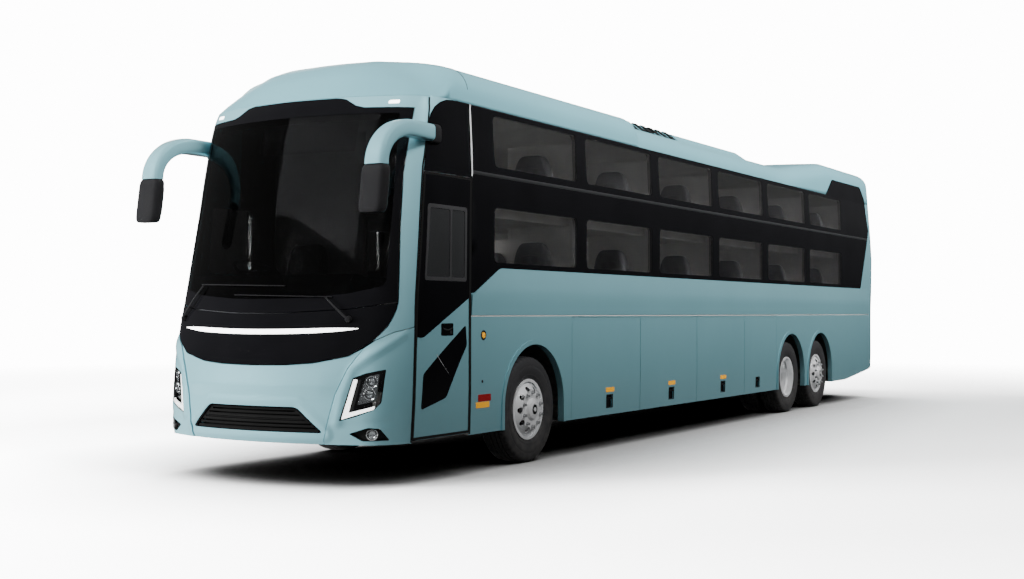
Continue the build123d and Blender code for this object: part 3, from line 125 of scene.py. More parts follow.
SLOPES = np.column_stack([slopes(ROWS[:, 0], ROWS[:, column]) for column in range(4)])


def eased(z, column, heights=ROWS[:, 0], table=ROWS, slope=SLOPES):
    """Cubic through a column of the rows: each span is Hermite's curve from its end values and slopes."""
    z = np.clip(z, heights[0], heights[-1])
    i = np.clip(np.searchsorted(heights, z) - 1, 0, len(heights) - 2)
    span = heights[i + 1] - heights[i]
    t = (z - heights[i]) / span
    return ((1 + 2 * t) * (1 - t) ** 2 * table[i, column] + t * (1 - t) ** 2 * span * slope[i, column]
            + t * t * (3 - 2 * t) * table[i + 1, column] + t * t * (t - 1) * span * slope[i + 1, column])


def plan(z):
    """Plan outline at a height: half width, both ends, arc angles, corner places and lengths to the joins."""
    half = HALF - eased(z, 1)
    nose, tail = NOSE + eased(z, 2), TAIL - eased(z, 3)
    phi = np.arcsin((half - NOSE_TURN) / (NOSE_BOW - NOSE_TURN))
    psi = np.arcsin((half - TAIL_TURN) / (TAIL_BOW - TAIL_TURN))
    front = nose + NOSE_BOW - (NOSE_BOW - NOSE_TURN) * np.cos(phi)
    rear = tail - TAIL_BOW + (TAIL_BOW - TAIL_TURN) * np.cos(psi)
    one = NOSE_BOW * phi
    two = one + NOSE_TURN * (math.pi / 2 - phi)
    three = two + rear - front
    four = three + TAIL_TURN * (math.pi / 2 - psi)
    return half, nose, tail, phi, psi, front, rear, one, two, three, four


def heading(s, z):
    """Turn of the outward direction from straight ahead, at a length along the outline."""
    half, nose, tail, phi, psi, front, rear, one, two, three, four = plan(z)
    a = np.abs(s)
    return np.select([a < one, a < two, a < three, a < four],
                     [a / NOSE_BOW, phi + (a - one) / NOSE_TURN, math.pi / 2 + 0 * a,
                      math.pi / 2 + (a - three) / TAIL_TURN], math.pi - psi + (a - four) / TAIL_BOW)


def skin(s, z, out=0.0):
    """Point of the body: a length s along the plan outline from the middle of the nose, plus on the left, at
    height z, moved out along the level outward direction. The outline is bow, corner arc, straight side,
    corner arc, bow: each arc is its centre plus radius times (sine, minus cosine) of the heading."""
    s, z = np.broadcast_arrays(np.asarray(s, float), np.asarray(z, float))
    half, nose, tail, phi, psi, front, rear, one, two, three, four = plan(z)
    a, turn = np.abs(s), heading(s, z)
    across, along = np.sin(turn), -np.cos(turn)
    spans = [a < one, a < two, a < three, a < four]
    x = np.select(spans, [NOSE_BOW * across, half - NOSE_TURN + NOSE_TURN * across, half,
                          half - TAIL_TURN + TAIL_TURN * across], TAIL_BOW * across)
    y = np.select(spans, [nose + NOSE_BOW + NOSE_BOW * along, front + NOSE_TURN * along, front + a - two,
                          rear + TAIL_TURN * along], tail - TAIL_BOW + TAIL_BOW * along)
    return np.stack([np.where(s < 0, -1, 1) * (x + out * across), y + out * along, z], -1)


def laid(places, out=0.0):
    """Body points at rows of (length along the outline, height)."""
    return skin(places[:, 0], places[:, 1], out)


def nose(points):
    """Front-view places (x, z) as (length along the outline, z)."""
    x, z = np.array(points, float).T
    half, _, _, phi, _, _, _, one, two, _, _ = plan(z)
    a = np.abs(x)
    bow = NOSE_BOW * np.arcsin(np.clip(a / NOSE_BOW, 0, 1))
    turn = np.arcsin(np.clip((a - half + NOSE_TURN) / NOSE_TURN, 0, 1))
    s = np.where(bow < one, bow, one + NOSE_TURN * (turn - phi))
    return np.column_stack([np.sign(x) * s, z])


def flank(points):
    """Side-view places (y, z) of the left side as (length along the outline, z)."""
    y, z = np.array(points, float).T
    _, _, _, phi, _, front, _, one, two, _, _ = plan(z)
    turn = np.arccos(np.clip((front - y) / NOSE_TURN, -1, 1))
    return np.column_stack([np.where(y < front, one + NOSE_TURN * (turn - phi), two + y - front), z])


def stern(points):
    """Rear-view places (x, z) as (length along the outline past the left corner, z)."""
    x, z = np.array(points, float).T
    psi, four = plan(z)[4], plan(z)[10]
    return np.column_stack([four + TAIL_BOW * (psi - np.arcsin(x / TAIL_BOW)), z])


def door_line(z, behind=0.0):
    """Y of the seam between the nose and the side, straight between its rows, plus a distance behind it."""
    return np.interp(z, DOOR_LINE[:, 0], DOOR_LINE[:, 1]) + behind


def box(x0, z0, x1, z1):
    """Corners of an upright oblong."""
    return [(x0, z0), (x1, z0), (x1, z1), (x0, z1)]


def level(y, z):
    """Rows of (y, z) at one height."""
    return np.column_stack([y, np.full(len(y), float(z))])


def upright(y, low, high, count=24):
    """Rows of (y, z) up a vertical edge at one length along the side."""
    return np.column_stack([np.full(count, float(y)), np.linspace(low, high, count)])


def seam(low, high, count=12, behind=0.0):
    """Rows of (y, z) up the seam behind the nose."""
    z = np.linspace(low, high, count)
    return np.column_stack([door_line(z, behind), z])


def circle(count):
    """Angles of a full turn, without its end."""
    return np.linspace(0, 2 * math.pi, count, endpoint=False)


def smooth(t):
    """Eases 0 to 1: three t squared less two t cubed."""
    return t ** 2 * (3 - 2 * t)


# ---------------------------------------------------------------- outlines and meshes
def twin(outline):
    """The same outline on the other side, its direction kept."""
    return outline[::-1] * (-1, 1)


def whole(half):
    """Front-view outline closed over the middle from its half, which runs round from the foot to the top."""
    half = np.array(half, float)
    other = half[::-1] * (-1, 1)
    return np.vstack([half, other[other[:, 0] < -1e-6]])


def rounded(outline, radius, points=6):
    """Each corner becomes a parabola between points a radius away along its two edges."""
    p = np.array(outline, float)
    a, b = np.roll(p, 1, 0) - p, np.roll(p, -1, 0) - p
    la, lb = np.hypot(*a.T), np.hypot(*b.T)
    cut = np.minimum(np.broadcast_to(radius, len(p)), 0.45 * np.minimum(la, lb))
    start, end = p + a * (cut / la)[:, None], p + b * (cut / lb)[:, None]
    t = np.linspace(0, 1, points)[None, :, None]
    curve = (1 - t) ** 2 * start[:, None] + 2 * t * (1 - t) * p[:, None] + t * t * end[:, None]
    return curve.reshape(-1, 2)


def tidy_loop(outline):
    """Drops points nearer than half a millimetre to the one before, and turns the loop anticlockwise."""
    p = np.asarray(outline, float)
    p = p[np.hypot(*(p - np.roll(p, 1, 0)).T) > 0.5]
    x, z = p.T
    area = (x * np.roll(z, -1) - z * np.roll(x, -1)).sum()
    return p if area > 0 else p[::-1]


def inset(outline, gap):
    """Moves each corner inward along the sum of its two edges' inward directions, to a given gap."""
    p = tidy_loop(outline)
    edge = np.roll(p, -1, 0) - p
    inward = np.column_stack([-edge[:, 1], edge[:, 0]]) / np.hypot(*edge.T)[:, None]
    before = np.roll(inward, 1, 0)
    share = np.maximum(1 + (inward * before).sum(1), 0.3)
    return p + gap * (inward + before) / share[:, None]


def dense(outline, step):
    """Points no further apart than a step along a closed outline."""
    runs = []
    for p, q in zip(outline, np.roll(outline, -1, 0)):
        count = max(1, int(np.ceil(np.hypot(*(q - p)) / step)))
        runs.append(p + (q - p) * np.linspace(0, 1, count, endpoint=False)[:, None])
    return np.vstack(runs)


def within(points, loop):
    """Whether each point is inside a loop: a ray to the right crosses it an odd number of times."""
    x, z = points[:, 0, None], points[:, 1, None]
    x0, z0 = loop.T
    x1, z1 = np.roll(loop, -1, 0).T
    rise = np.where(z1 == z0, 1, z1 - z0)
    crosses = ((z0 > z) != (z1 > z)) & (x < x0 + (z - z0) * (x1 - x0) / rise)
    return crosses.sum(1) % 2 == 1


def cut_sheet(outline, holes=(), step=60):
    """Flat triangles inside an outline and outside its holes, with a staggered grid of points between."""
    loops = [dense(tidy_loop(loop), step) for loop in (outline, *holes)]
    low, high = loops[0].min(0), loops[0].max(0)
    x, z = np.meshgrid(np.arange(low[0], high[0], step), np.arange(low[1], high[1], step * 0.87))
    x = x + step / 2 * (np.arange(len(x)) % 2)[:, None]
    grid = np.column_stack([x.ravel(), z.ravel()]) + step * 0.31
    rim = np.vstack(loops)
    grid = grid[within(grid, loops[0])]
    for hole in loops[1:]:
        grid = grid[~within(grid, hole)]
    if len(grid):
        near = np.concatenate([np.min(np.hypot(part[:, 0, None] - rim[:, 0], part[:, 1, None] - rim[:, 1]), 1)
                               for part in np.array_split(grid, len(grid) // 2000 + 1)])
        grid = grid[near > 0.45 * step]
    starts = np.cumsum([0] + [len(loop) for loop in loops])
    edges = np.vstack([np.column_stack([np.arange(n), (np.arange(n) + 1) % n]) + first
                       for n, first in zip([len(loop) for loop in loops], starts)])
    made = delaunay_2d_cdt(list(map(Vector, np.vstack([rim, grid]).tolist())), edges.tolist(), [], 0, 0.01)
    points, tris = np.array([tuple(v) for v in made[0]]), np.array(made[2])
    middle = points[tris].mean(1)
    kept = within(middle, loops[0])
    for hole in loops[1:]:
        kept &= ~within(middle, hole)
    tris = tris[kept]
    a, b, c = points[tris[:, 0]], points[tris[:, 1]], points[tris[:, 2]]
    flip = (b - a)[:, 0] * (c - a)[:, 1] - (b - a)[:, 1] * (c - a)[:, 0] < 0
    tris[flip] = tris[flip][:, ::-1]
    return points, tris


def border(tris, count):
    """Edges that only one triangle has, in its direction."""
    edges = np.vstack([tris[:, [0, 1]], tris[:, [1, 2]], tris[:, [2, 0]]])
    return edges[~np.isin(edges[:, 0] * count + edges[:, 1], edges[:, 1] * count + edges[:, 0])]


def slab(outline, holes=(), out=0.0, thick=4.0, step=60, surface=skin):
    """Panel of the body: a cut sheet laid on the surface, its back a thickness further in, and its edges."""
    points, tris = cut_sheet(outline, holes, step)
    count = len(points)
    top = surface(points[:, 0], points[:, 1], out)
    under = surface(points[:, 0], points[:, 1], out - thick)
    edge = border(tris, count)
    walls = np.column_stack([edge[:, 1], edge[:, 0], edge[:, 0] + count, edge[:, 1] + count])
    return np.vstack([top, under]), [tris, tris[:, ::-1] + count, walls]


def recess(outline, depth, lip=1.0, step=60):
    """Open tub let into the body: a floor at a depth, and walls from just inside the skin down to it."""
    points, tris = cut_sheet(outline, (), step)
    count = len(points)
    edge = border(tris, count)
    walls = np.column_stack([edge[:, 0], edge[:, 1], edge[:, 1] + count, edge[:, 0] + count])
    return np.vstack([laid(points, -depth), laid(points, -lip)]), [tris, walls]


def lattice(rows, columns, wrap=True):
    """Faces of a grid of points, row by row, each row closed on itself if wrapped."""
    i, j = np.meshgrid(np.arange(rows - 1), np.arange(columns if wrap else columns - 1), indexing="ij")
    k = (j + 1) % columns
    return np.stack([i * columns + j, i * columns + k, (i + 1) * columns + k, (i + 1) * columns + j],
                    -1).reshape(-1, 4)


def closed_grid(points):
    """A grid of closed rings joined into a skin, with a fan to the middle of its first and last ring."""
    rows, columns = points.shape[:2]
    ends = np.stack([points[0].mean(0), points[-1].mean(0)])
    ring = np.arange(columns)
    after = (ring + 1) % columns
    first, last = rows * columns, rows * columns + 1
    start = (rows - 1) * columns
    caps = [np.column_stack([after, ring, np.full(columns, first)]),
            np.column_stack([ring + start, after + start, np.full(columns, last)])]
    return np.vstack([points.reshape(-1, 3), ends]), [lattice(rows, columns), *caps]


def power(value, exponent):
    """Signed power, which squares a circle off into a superellipse."""
    return np.sign(value) * np.abs(value) ** exponent


def swept(path, wide, tall, up=(0, 0, 1), sides=12, square=1.0):
    """Profile carried along a path: centre plus wide times cosine across and tall times sine upward."""
    path = np.array(path, float)
    along = np.gradient(path, axis=0)
    along /= np.linalg.norm(along, axis=1)[:, None]
    across = np.cross(along, np.array(up, float))
    across /= np.linalg.norm(across, axis=1)[:, None]
    upward = np.cross(across, along)
    angle = circle(sides)
    a, b = power(np.cos(angle), square), power(np.sin(angle), square)
    wide, tall = np.broadcast_to(wide, len(path)), np.broadcast_to(tall, len(path))
    points = (path[:, None] + across[:, None] * (wide[:, None] * a)[..., None]
              + upward[:, None] * (tall[:, None] * b)[..., None])
    return closed_grid(points)


def turned(profile, centre, axis=(1, 0, 0), segments=48):
    """Profile of (distance along the axis, radius) turned about the axis, a full ring at each point."""
    along, radius = np.array(profile, float).T
    axis = np.array(axis, float) / np.linalg.norm(axis)
    first = np.cross(axis, (0, 0, 1.0))
    first /= np.linalg.norm(first)
    angle = circle(segments)[:, None]
    ring = np.cos(angle) * first + np.sin(angle) * np.cross(axis, first)
    return closed_grid(np.array(centre, float) + along[:, None, None] * axis + radius[:, None, None] * ring)


def lump(half, centre, power_plan=0.35, power_rise=0.5, rows=20, columns=36):
    """Cushion: a superellipsoid, half sizes times signed powers of the sines and cosines of two angles."""
    rise, around = np.linspace(-math.pi / 2, math.pi / 2, rows)[:, None], circle(columns)[None, :]
    x = half[0] * power(np.cos(rise), power_rise) * power(np.cos(around), power_plan)
    y = half[1] * power(np.cos(rise), power_rise) * power(np.sin(around), power_plan)
    z = half[2] * power(np.sin(rise), 0.75) + 0 * around
    return closed_grid(np.stack([x, y, z], -1) + np.array(centre, float))


def joined(*meshes):
    """Several meshes as one list of points and faces."""
    points, faces, start = [], [], 0
    for part_points, part_faces in meshes:
        points.append(part_points)
        faces += [np.asarray(group) + start for group in part_faces]
        start += len(part_points)
    return np.vstack(points), faces


def mirrored(mesh):
    """The mesh on the other side, its faces turned back outward."""
    points, faces = mesh
    return points * (-1, 1, 1), [np.asarray(group)[:, ::-1] for group in faces]


def pair(mesh):
    """The mesh and its mirror image."""
    return joined(mesh, mirrored(mesh))


def piece(name, mesh, finish, slot=None, body="root", replaces=(), bevel=0.0, crease=40.0):
    """Makes one object from points in millimetres and faces, shades it, and hands it to the frame."""
    points, faces = mesh
    data = bpy.data.meshes.new(name)
    data.from_pydata((points * MM).tolist(), [], [face for group in faces for face in group.tolist()])
    data.validate(clean_customdata=False)
    data.shade_smooth()
    data.set_sharp_from_angle(angle=math.radians(crease))
    obj = bpy.data.objects.new(name, data)
    bpy.context.scene.collection.objects.link(obj)
    data.materials.append(bpy.data.materials[finish])
    if bevel:
        edge = obj.modifiers.new("edge", "BEVEL")
        edge.width, edge.segments, edge.limit_method = bevel * MM, 2, "ANGLE"
        edge.angle_limit, edge.harden_normals = math.radians(50), True
    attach(obj, body)
    if replaces:
        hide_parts(*replaces)
    return obj


def panel(name, outline, finish, out=0.0, thick=4.0, step=60, slot=None, holes=(), **more):
    """A slab of the body as one piece."""
    return piece(name, slab(outline, holes, out, thick, step), finish, slot, **more)


def panels(name, outline, finish, out=0.0, thick=4.0, step=60, slot=None, holes=(), **more):
    """A slab of the body and its mirror image as one piece."""
    return piece(name, pair(slab(outline, holes, out, thick, step)), finish, slot, **more)


# ---------------------------------------------------------------- shader groups
def feed(tree, source, socket):
    """Links an output to a socket, or sets the socket to a constant."""
    if isinstance(source, bpy.types.NodeSocket):
        tree.links.new(source, socket)
    else:
        socket.default_value = source


def new_group(name, inputs, outputs):
    """Empty shader group with named sockets: the tree, its inputs by name, and its end's sockets."""
    tree = bpy.data.node_groups.new(name, "ShaderNodeTree")
    for label, kind, value in inputs:
        socket = tree.interface.new_socket(name=label, in_out="INPUT", socket_type="NodeSocket" + kind)
        if value is not None:
            socket.default_value = value
    for label, kind in outputs:
        tree.interface.new_socket(name=label, in_out="OUTPUT", socket_type="NodeSocket" + kind)
    return tree, tree.nodes.new("NodeGroupInput").outputs, tree.nodes.new("NodeGroupOutput").inputs


def node(tree, kind, links=(), **values):
    """Adds a node, sets its properties, and links or sets its inputs."""
    made = tree.nodes.new("ShaderNode" + kind)
    for key, value in values.items():
        setattr(made, key, value)
    for socket, source in dict(links).items():
        feed(tree, source, made.inputs[socket])
    return made


def noise(tree, vector, scale, detail=3.0):
    """Cloudy value between 0 and 1."""
    return node(tree, "TexNoise", {"Vector": vector, "Scale": scale, "Detail": detail}).outputs["Fac"]


def maths(tree, operation, a, b=0.0):
    """One step of arithmetic on two values."""
    return node(tree, "Math", {0: a, 1: b}, operation=operation).outputs[0]


def spread(tree, value, low, high, to_low, to_high):
    """A value's range stretched over another, and held between its ends."""
    links = {"Value": value, "From Min": low, "From Max": high, "To Min": to_low, "To Max": to_high}
    return node(tree, "MapRange", links).outputs["Result"]


def blended(tree, share, first, second):
    """Colour between two colours by a share."""
    made = node(tree, "Mix", data_type="RGBA", blend_type="MIX")
    for socket, source in ((0, share), (6, first), (7, second)):
        feed(tree, source, made.inputs[socket])
    return made.outputs[2]


def scaled(tree, vector, by):
    """Vector or colour times a value."""
    return node(tree, "VectorMath", {0: vector, "Scale": by}, operation="SCALE").outputs[0]


def shader_groups():
    """Shared effects: tone and gloss that drift, fine grain, cloth weave, and road dust by height."""
    place, colour = ("Vector", "Vector", None), ("Colour", "Color", None)
    inputs = [place, colour, ("Amount", "Float", 0.05), ("Scale", "Float", 2.0), ("Roughness", "Float", 0.3),
              ("Gloss Drift", "Float", 0.05)]
    tree, take, give = new_group("tone_drift", inputs, [("Colour", "Color"), ("Roughness", "Float")])
    wide = noise(tree, take["Vector"], take["Scale"], 4.0)
    shade = spread(tree, wide, 0.3, 0.7, maths(tree, "SUBTRACT", 1.0, take["Amount"]),
                   maths(tree, "ADD", 1.0, take["Amount"]))
    feed(tree, scaled(tree, take["Colour"], shade), give["Colour"])
    fine = noise(tree, take["Vector"], maths(tree, "MULTIPLY", take["Scale"], 9.0), 5.0)
    drift = maths(tree, "MULTIPLY", maths(tree, "SUBTRACT", fine, 0.5), take["Gloss Drift"])
    feed(tree, maths(tree, "ADD", take["Roughness"], drift), give["Roughness"])

    tree, take, give = new_group("fine_grain", [place, ("Scale", "Float", 400.0)], [("Height", "Float")])
    cells = node(tree, "TexVoronoi", {"Vector": take["Vector"], "Scale": take["Scale"]})
    soft = noise(tree, take["Vector"], maths(tree, "MULTIPLY", take["Scale"], 0.4), 4.0)
    feed(tree, maths(tree, "ADD", cells.outputs["Distance"], soft), give["Height"])

    inputs = [place, colour, ("Second", "Color", None), ("Scale", "Float", 500.0)]
    tree, take, give = new_group("cloth_weave", inputs, [("Colour", "Color"), ("Height", "Float")])
    warp, weft = [node(tree, "TexWave", {"Vector": take["Vector"], "Scale": take["Scale"], "Distortion": 0.6},
                       bands_direction=way).outputs["Fac"] for way in "XY"]
    thread = maths(tree, "MULTIPLY", warp, weft)
    feed(tree, blended(tree, thread, take["Colour"], take["Second"]), give["Colour"])
    feed(tree, thread, give["Height"])

    inputs = [place, colour, ("Dust", "Color", (0.32, 0.29, 0.25, 1)), ("Amount", "Float", 0.2),
              ("Reach", "Float", 0.9)]
    tree, take, give = new_group("road_dust", inputs, [("Colour", "Color"), ("Mask", "Float")])
    height = node(tree, "SeparateXYZ", {"Vector": take["Vector"]}).outputs["Z"]
    low = spread(tree, height, take["Reach"], 0.3, 0.0, 1.0)
    patchy = spread(tree, noise(tree, take["Vector"], 14.0, 6.0), 0.35, 0.75, 0.0, 1.0)
    mask = maths(tree, "MULTIPLY", maths(tree, "MULTIPLY", low, patchy), take["Amount"])
    feed(tree, mask, give["Mask"])
    feed(tree, blended(tree, mask, take["Colour"], take["Dust"]), give["Colour"])


def placed(tree, group, **links):
    """A copy of a shared group in a material, its sockets linked or set."""
    made = tree.nodes.new("ShaderNodeGroup")
    made.node_tree = bpy.data.node_groups[group]
    for label, source in links.items():
        feed(tree, source, made.inputs[label.replace("_", " ")])
    return made.outputs


def finish(name, colour, roughness, metallic=0.0, coat=0.0, amount=0.04, scale=1.5, drift=0.05, grain=0.0,
           grain_scale=300.0, dust=0.0, reach=0.9, weave=None, weave_scale=420.0, clear=0.0, ior=1.5,
           glow=0.0, sheen=0.0, lining=0.0):
    """One material: drifting tone, optional weave and road dust in its colour, grain in its bump. With a
    lining it turns to the cabin's grey nearer the middle than that distance, and to the dark of the window
    frames above the waist, both between the rounded ends."""
    made = bpy.data.materials.new(name)
    made.use_nodes = True
    tree = made.node_tree
    shader = tree.nodes["Principled BSDF"]
    place = tree.nodes.new("ShaderNodeTexCoord").outputs["Object"]
    base = (*colour, 1.0)
    height = None
    if weave:
        cloth = placed(tree, "cloth_weave", Vector=place, Colour=base, Second=(*weave, 1.0),
                       Scale=weave_scale)
        base, height = cloth["Colour"], cloth["Height"]
    tone = placed(tree, "tone_drift", Vector=place, Colour=base, Amount=amount, Scale=scale,
                  Roughness=roughness, Gloss_Drift=drift)
    result = tone["Colour"]
    if dust:
        result = placed(tree, "road_dust", Vector=place, Colour=result, Amount=dust, Reach=reach)["Colour"]
    if lining:
        parts = node(tree, "SeparateXYZ", {"Vector": place}).outputs
        inside = maths(tree, "LESS_THAN", maths(tree, "ABSOLUTE", parts["X"]), lining)
        straight = maths(tree, "LESS_THAN", maths(tree, "ABSOLUTE", parts["Y"]), 6.2)
        result = blended(tree, maths(tree, "MULTIPLY", inside, straight), result, (0.2, 0.2, 0.195, 1.0))
        framed = maths(tree, "MULTIPLY", straight, maths(tree, "GREATER_THAN", parts["Z"], 1.93))
        framed = maths(tree, "MULTIPLY", framed, maths(tree, "SUBTRACT", 1.0, inside))
        result = blended(tree, framed, result, (0.02, 0.02, 0.02, 1.0))
    if grain and height is None:
        height = placed(tree, "fine_grain", Vector=place, Scale=grain_scale)["Height"]
    values = {"Base Color": result, "Roughness": tone["Roughness"], "Metallic": metallic, "Coat Weight": coat,
              "Coat Roughness": 0.06, "IOR": ior, "Transmission Weight": clear, "Sheen Weight": sheen}
    if glow:
        values |= {"Emission Color": result, "Emission Strength": glow}
    if height is not None:
        bump = node(tree, "Bump", {"Height": height, "Strength": max(grain, 0.1), "Distance": 0.001})
        values["Normal"] = bump.outputs["Normal"]
    for label, value in values.items():
        feed(tree, value, shader.inputs[label])


# ---------------------------------------------------------------- settings
def colour_setting(label, text, default):
    return bpy.props.FloatVectorProperty(name=label, description=text, default=default, size=3, min=0, max=1,
                                         subtype="COLOR")


def length_setting(label, text, default):
    return bpy.props.FloatProperty(name=label, description=text, default=default, min=0, unit="LENGTH")


class CoachColours(bpy.types.PropertyGroup):
    """Colours of the coach's finishes."""
    paint: colour_setting("Body paint", "Metallic paint of the body sides and nose", (0.22, 0.46, 0.52))
    roof: colour_setting("Roof paint", "Metallic paint of the roof", (0.17, 0.395, 0.455))
    glass: colour_setting("Glass tint", "Tint of the side windows", (0.74, 0.735, 0.73))
    screen: colour_setting("Screen tint", "Tint of the windshield", (0.055, 0.056, 0.058))
    cloth: colour_setting("Upholstery", "Main thread of the seats and mattresses", (0.075, 0.08, 0.09))
    floor: colour_setting("Studio floor", "Floor of the studio", (0.80, 0.80, 0.80))


class CoachSizes(bpy.types.PropertyGroup):
    """Sizes of the coach's dressing."""
    gap: length_setting("Panel gap", "Half the gap between two panels of the nose", 0.0035)
    tread: length_setting("Tread depth", "Depth of the tyre's grooves", 0.011)
    seal: length_setting("Door seal", "Width of the rubber round the entrance door", 0.022)


# ---------------------------------------------------------------- operators
class COACH_OT_finishes(bpy.types.Operator):
    """Builds every material and gives the frame's own parts theirs"""
    bl_idname = "coach.finishes"
    bl_label = "Finishes"

    def execute(self, context):
        shader_groups()
        c = context.scene.coach_colours
        finish("paint", c.paint, 0.3, 0.6, 0.8, amount=0.03, scale=0.8, grain=0.03, grain_scale=900,
               dust=0.04)
        finish("plate", (0.62, 0.62, 0.6), 0.4, amount=0.05, scale=8, grain=0.1, grain_scale=300)
        finish("dark_glass", (0.012, 0.0125, 0.013), 0.05, amount=0.1, scale=2)
        finish("frame", (0.02, 0.02, 0.021), 0.4, amount=0.1, scale=4, grain=0.3, grain_scale=400)
        # near black for gaps and seals; it is also the painted shade behind the intake and in the wheels'
        # hand holes
        finish("void", (0.004, 0.004, 0.004), 0.85, amount=0.1, scale=4, grain=0.2, grain_scale=300)
        finish("lined_paint", c.paint, 0.3, 0.6, 0.8, amount=0.03, scale=0.8, grain=0.03, grain_scale=900,
               dust=0.05, lining=1.2705)
        finish("roof_coat", c.roof, 0.38, 0.6, 0.15, amount=0.03, scale=0.8, grain=0.05, grain_scale=900)
        finish("gloss_black", (0.002, 0.002, 0.0024), 0.08, amount=0.15, scale=2, ior=1.2)
        finish("trim", (0.007, 0.007, 0.0075), 0.38, amount=0.12, grain=0.3, grain_scale=500, dust=0.03,
               ior=1.35)
        finish("belt", (0.01, 0.0105, 0.011), 0.3, amount=0.08, scale=2)
        finish("rubber", (0.012, 0.012, 0.012), 0.65, amount=0.2, grain=0.35, grain_scale=350, dust=0.03)
        finish("tyre", (0.020, 0.020, 0.021), 0.6, amount=0.1, scale=5, grain=0.3, grain_scale=260, dust=0.06)
        finish("alloy", (0.86, 0.87, 0.88), 0.3, 0.6, amount=0.05, scale=6, drift=0.12, grain=0.08,
               grain_scale=700, dust=0.1)
        finish("chrome", (0.88, 0.89, 0.9), 0.07, 1.0, amount=0.02)
        finish("nut", (0.55, 0.56, 0.57), 0.28, 1.0, amount=0.08, grain=0.15)
        finish("steel", (0.045, 0.046, 0.048), 0.55, 0.5, amount=0.25, scale=6, grain=0.4, dust=0.6,
               reach=1.3)
        # painted glow: the cabin's grey glows faintly, standing in for light inside the cabin
        finish("cabin", (0.42, 0.42, 0.41), 0.6, amount=0.06, scale=3, grain=0.3, grain_scale=350, glow=0.03)
        finish("dash", (0.05, 0.052, 0.055), 0.55, amount=0.08, grain=0.5, grain_scale=420)
        finish("cloth", c.cloth, 0.85, amount=0.08, scale=4, grain=0.5, weave=(0.14, 0.15, 0.165), sheen=0.3)
        finish("side_glass", c.glass, 0.015, clear=1.0, ior=1.3, amount=0.02, drift=0.01)
        finish("screen_glass", c.screen, 0.01, clear=1.0, ior=1.22, amount=0.02, drift=0.01)
        finish("lens", (0.93, 0.95, 0.96), 0.02, clear=1.0, ior=1.42, amount=0.01, drift=0.01)
        finish("amber", (0.8, 0.36, 0.012), 0.18, coat=0.3, grain=0.6, grain_scale=160, glow=0.05)
        finish("red_lens", (0.2, 0.002, 0.003), 0.15, coat=0.4, grain=0.6, grain_scale=160)
        finish("white_light", (1.0, 1.0, 0.98), 0.25, glow=2.6, amount=0.02)
        by_slot = {"body_paint": "paint", "roof_paint": "roof_coat", "black_trim": "trim",
                   "tinted_glass": "side_glass", "lamp_lens": "lens", "tail_lens": "red_lens",
                   "tyre_rubber": "tyre", "polished_alloy": "alloy", "chassis_steel": "steel",
                   "interior_panel": "cabin", "upholstery": "cloth"}
        by_node = {"dashboard": "dash", "steering_wheel": "dash", "side_wall_left": "lined_paint",
                   "side_wall_right": "lined_paint", "skirts": "lined_paint", "door_leaf": "lined_paint",
                   "intake_grille": "void", "door_glass": "dark_glass", "tail_lamps": "red_lens"}
        for label, part in frame["nodes"].items():
            for place in part.material_slots:
                own = by_node.get(label, by_slot.get(place.material.name.split(".")[0], "trim"))
                place.material = bpy.data.materials[own]
        return {"FINISHED"}


def off_line(points, line):
    """Least distance of each point from a line of runs, its foot held between each run's ends."""
    a, b = np.array(line[:-1], float), np.array(line[1:], float)
    run = b - a
    share = ((points[:, None] - a) * run).sum(2) / (run ** 2).sum(1)
    foot = a + np.clip(share, 0, 1)[..., None] * run
    return np.linalg.norm(points[:, None] - foot, axis=2).min(1)


def nose_creases(s, z, out):
    """Body surface with the nose's folds: one across the front panel, one beside each lamp and a lip round
    the intake, each raised in proportion to how near its line is, and a hollow below the lamps."""
    a = np.abs(s)
    places = np.column_stack([a, z])
    fold = np.clip(1 - np.abs(z - 850) / np.where(z > 850, 165, 110), 0, 1) * np.clip((900 - a) / 200, 0, 1)
    beside = np.clip(1 - off_line(places, nose(CREASE)) / 60, 0, 1)
    hollow = np.clip(1 - off_line(places, nose([(930, 540), (1240, 560)])) / 45, 0, 1)
    mouth = off_line(places, np.vstack([nose(INTAKE), nose(INTAKE[:1])]))
    lip = np.clip(1 - np.abs(mouth - 46) / 46, 0, 1)
    return skin(s, z, out + 14 * fold + 15 * beside - 6 * hollow + 12 * lip)


def lamp_outlines():
    """Outlines of the head lamp's and the fog lamp's openings."""
    return rounded(nose(LAMP), 14), rounded(nose(POD), 14)


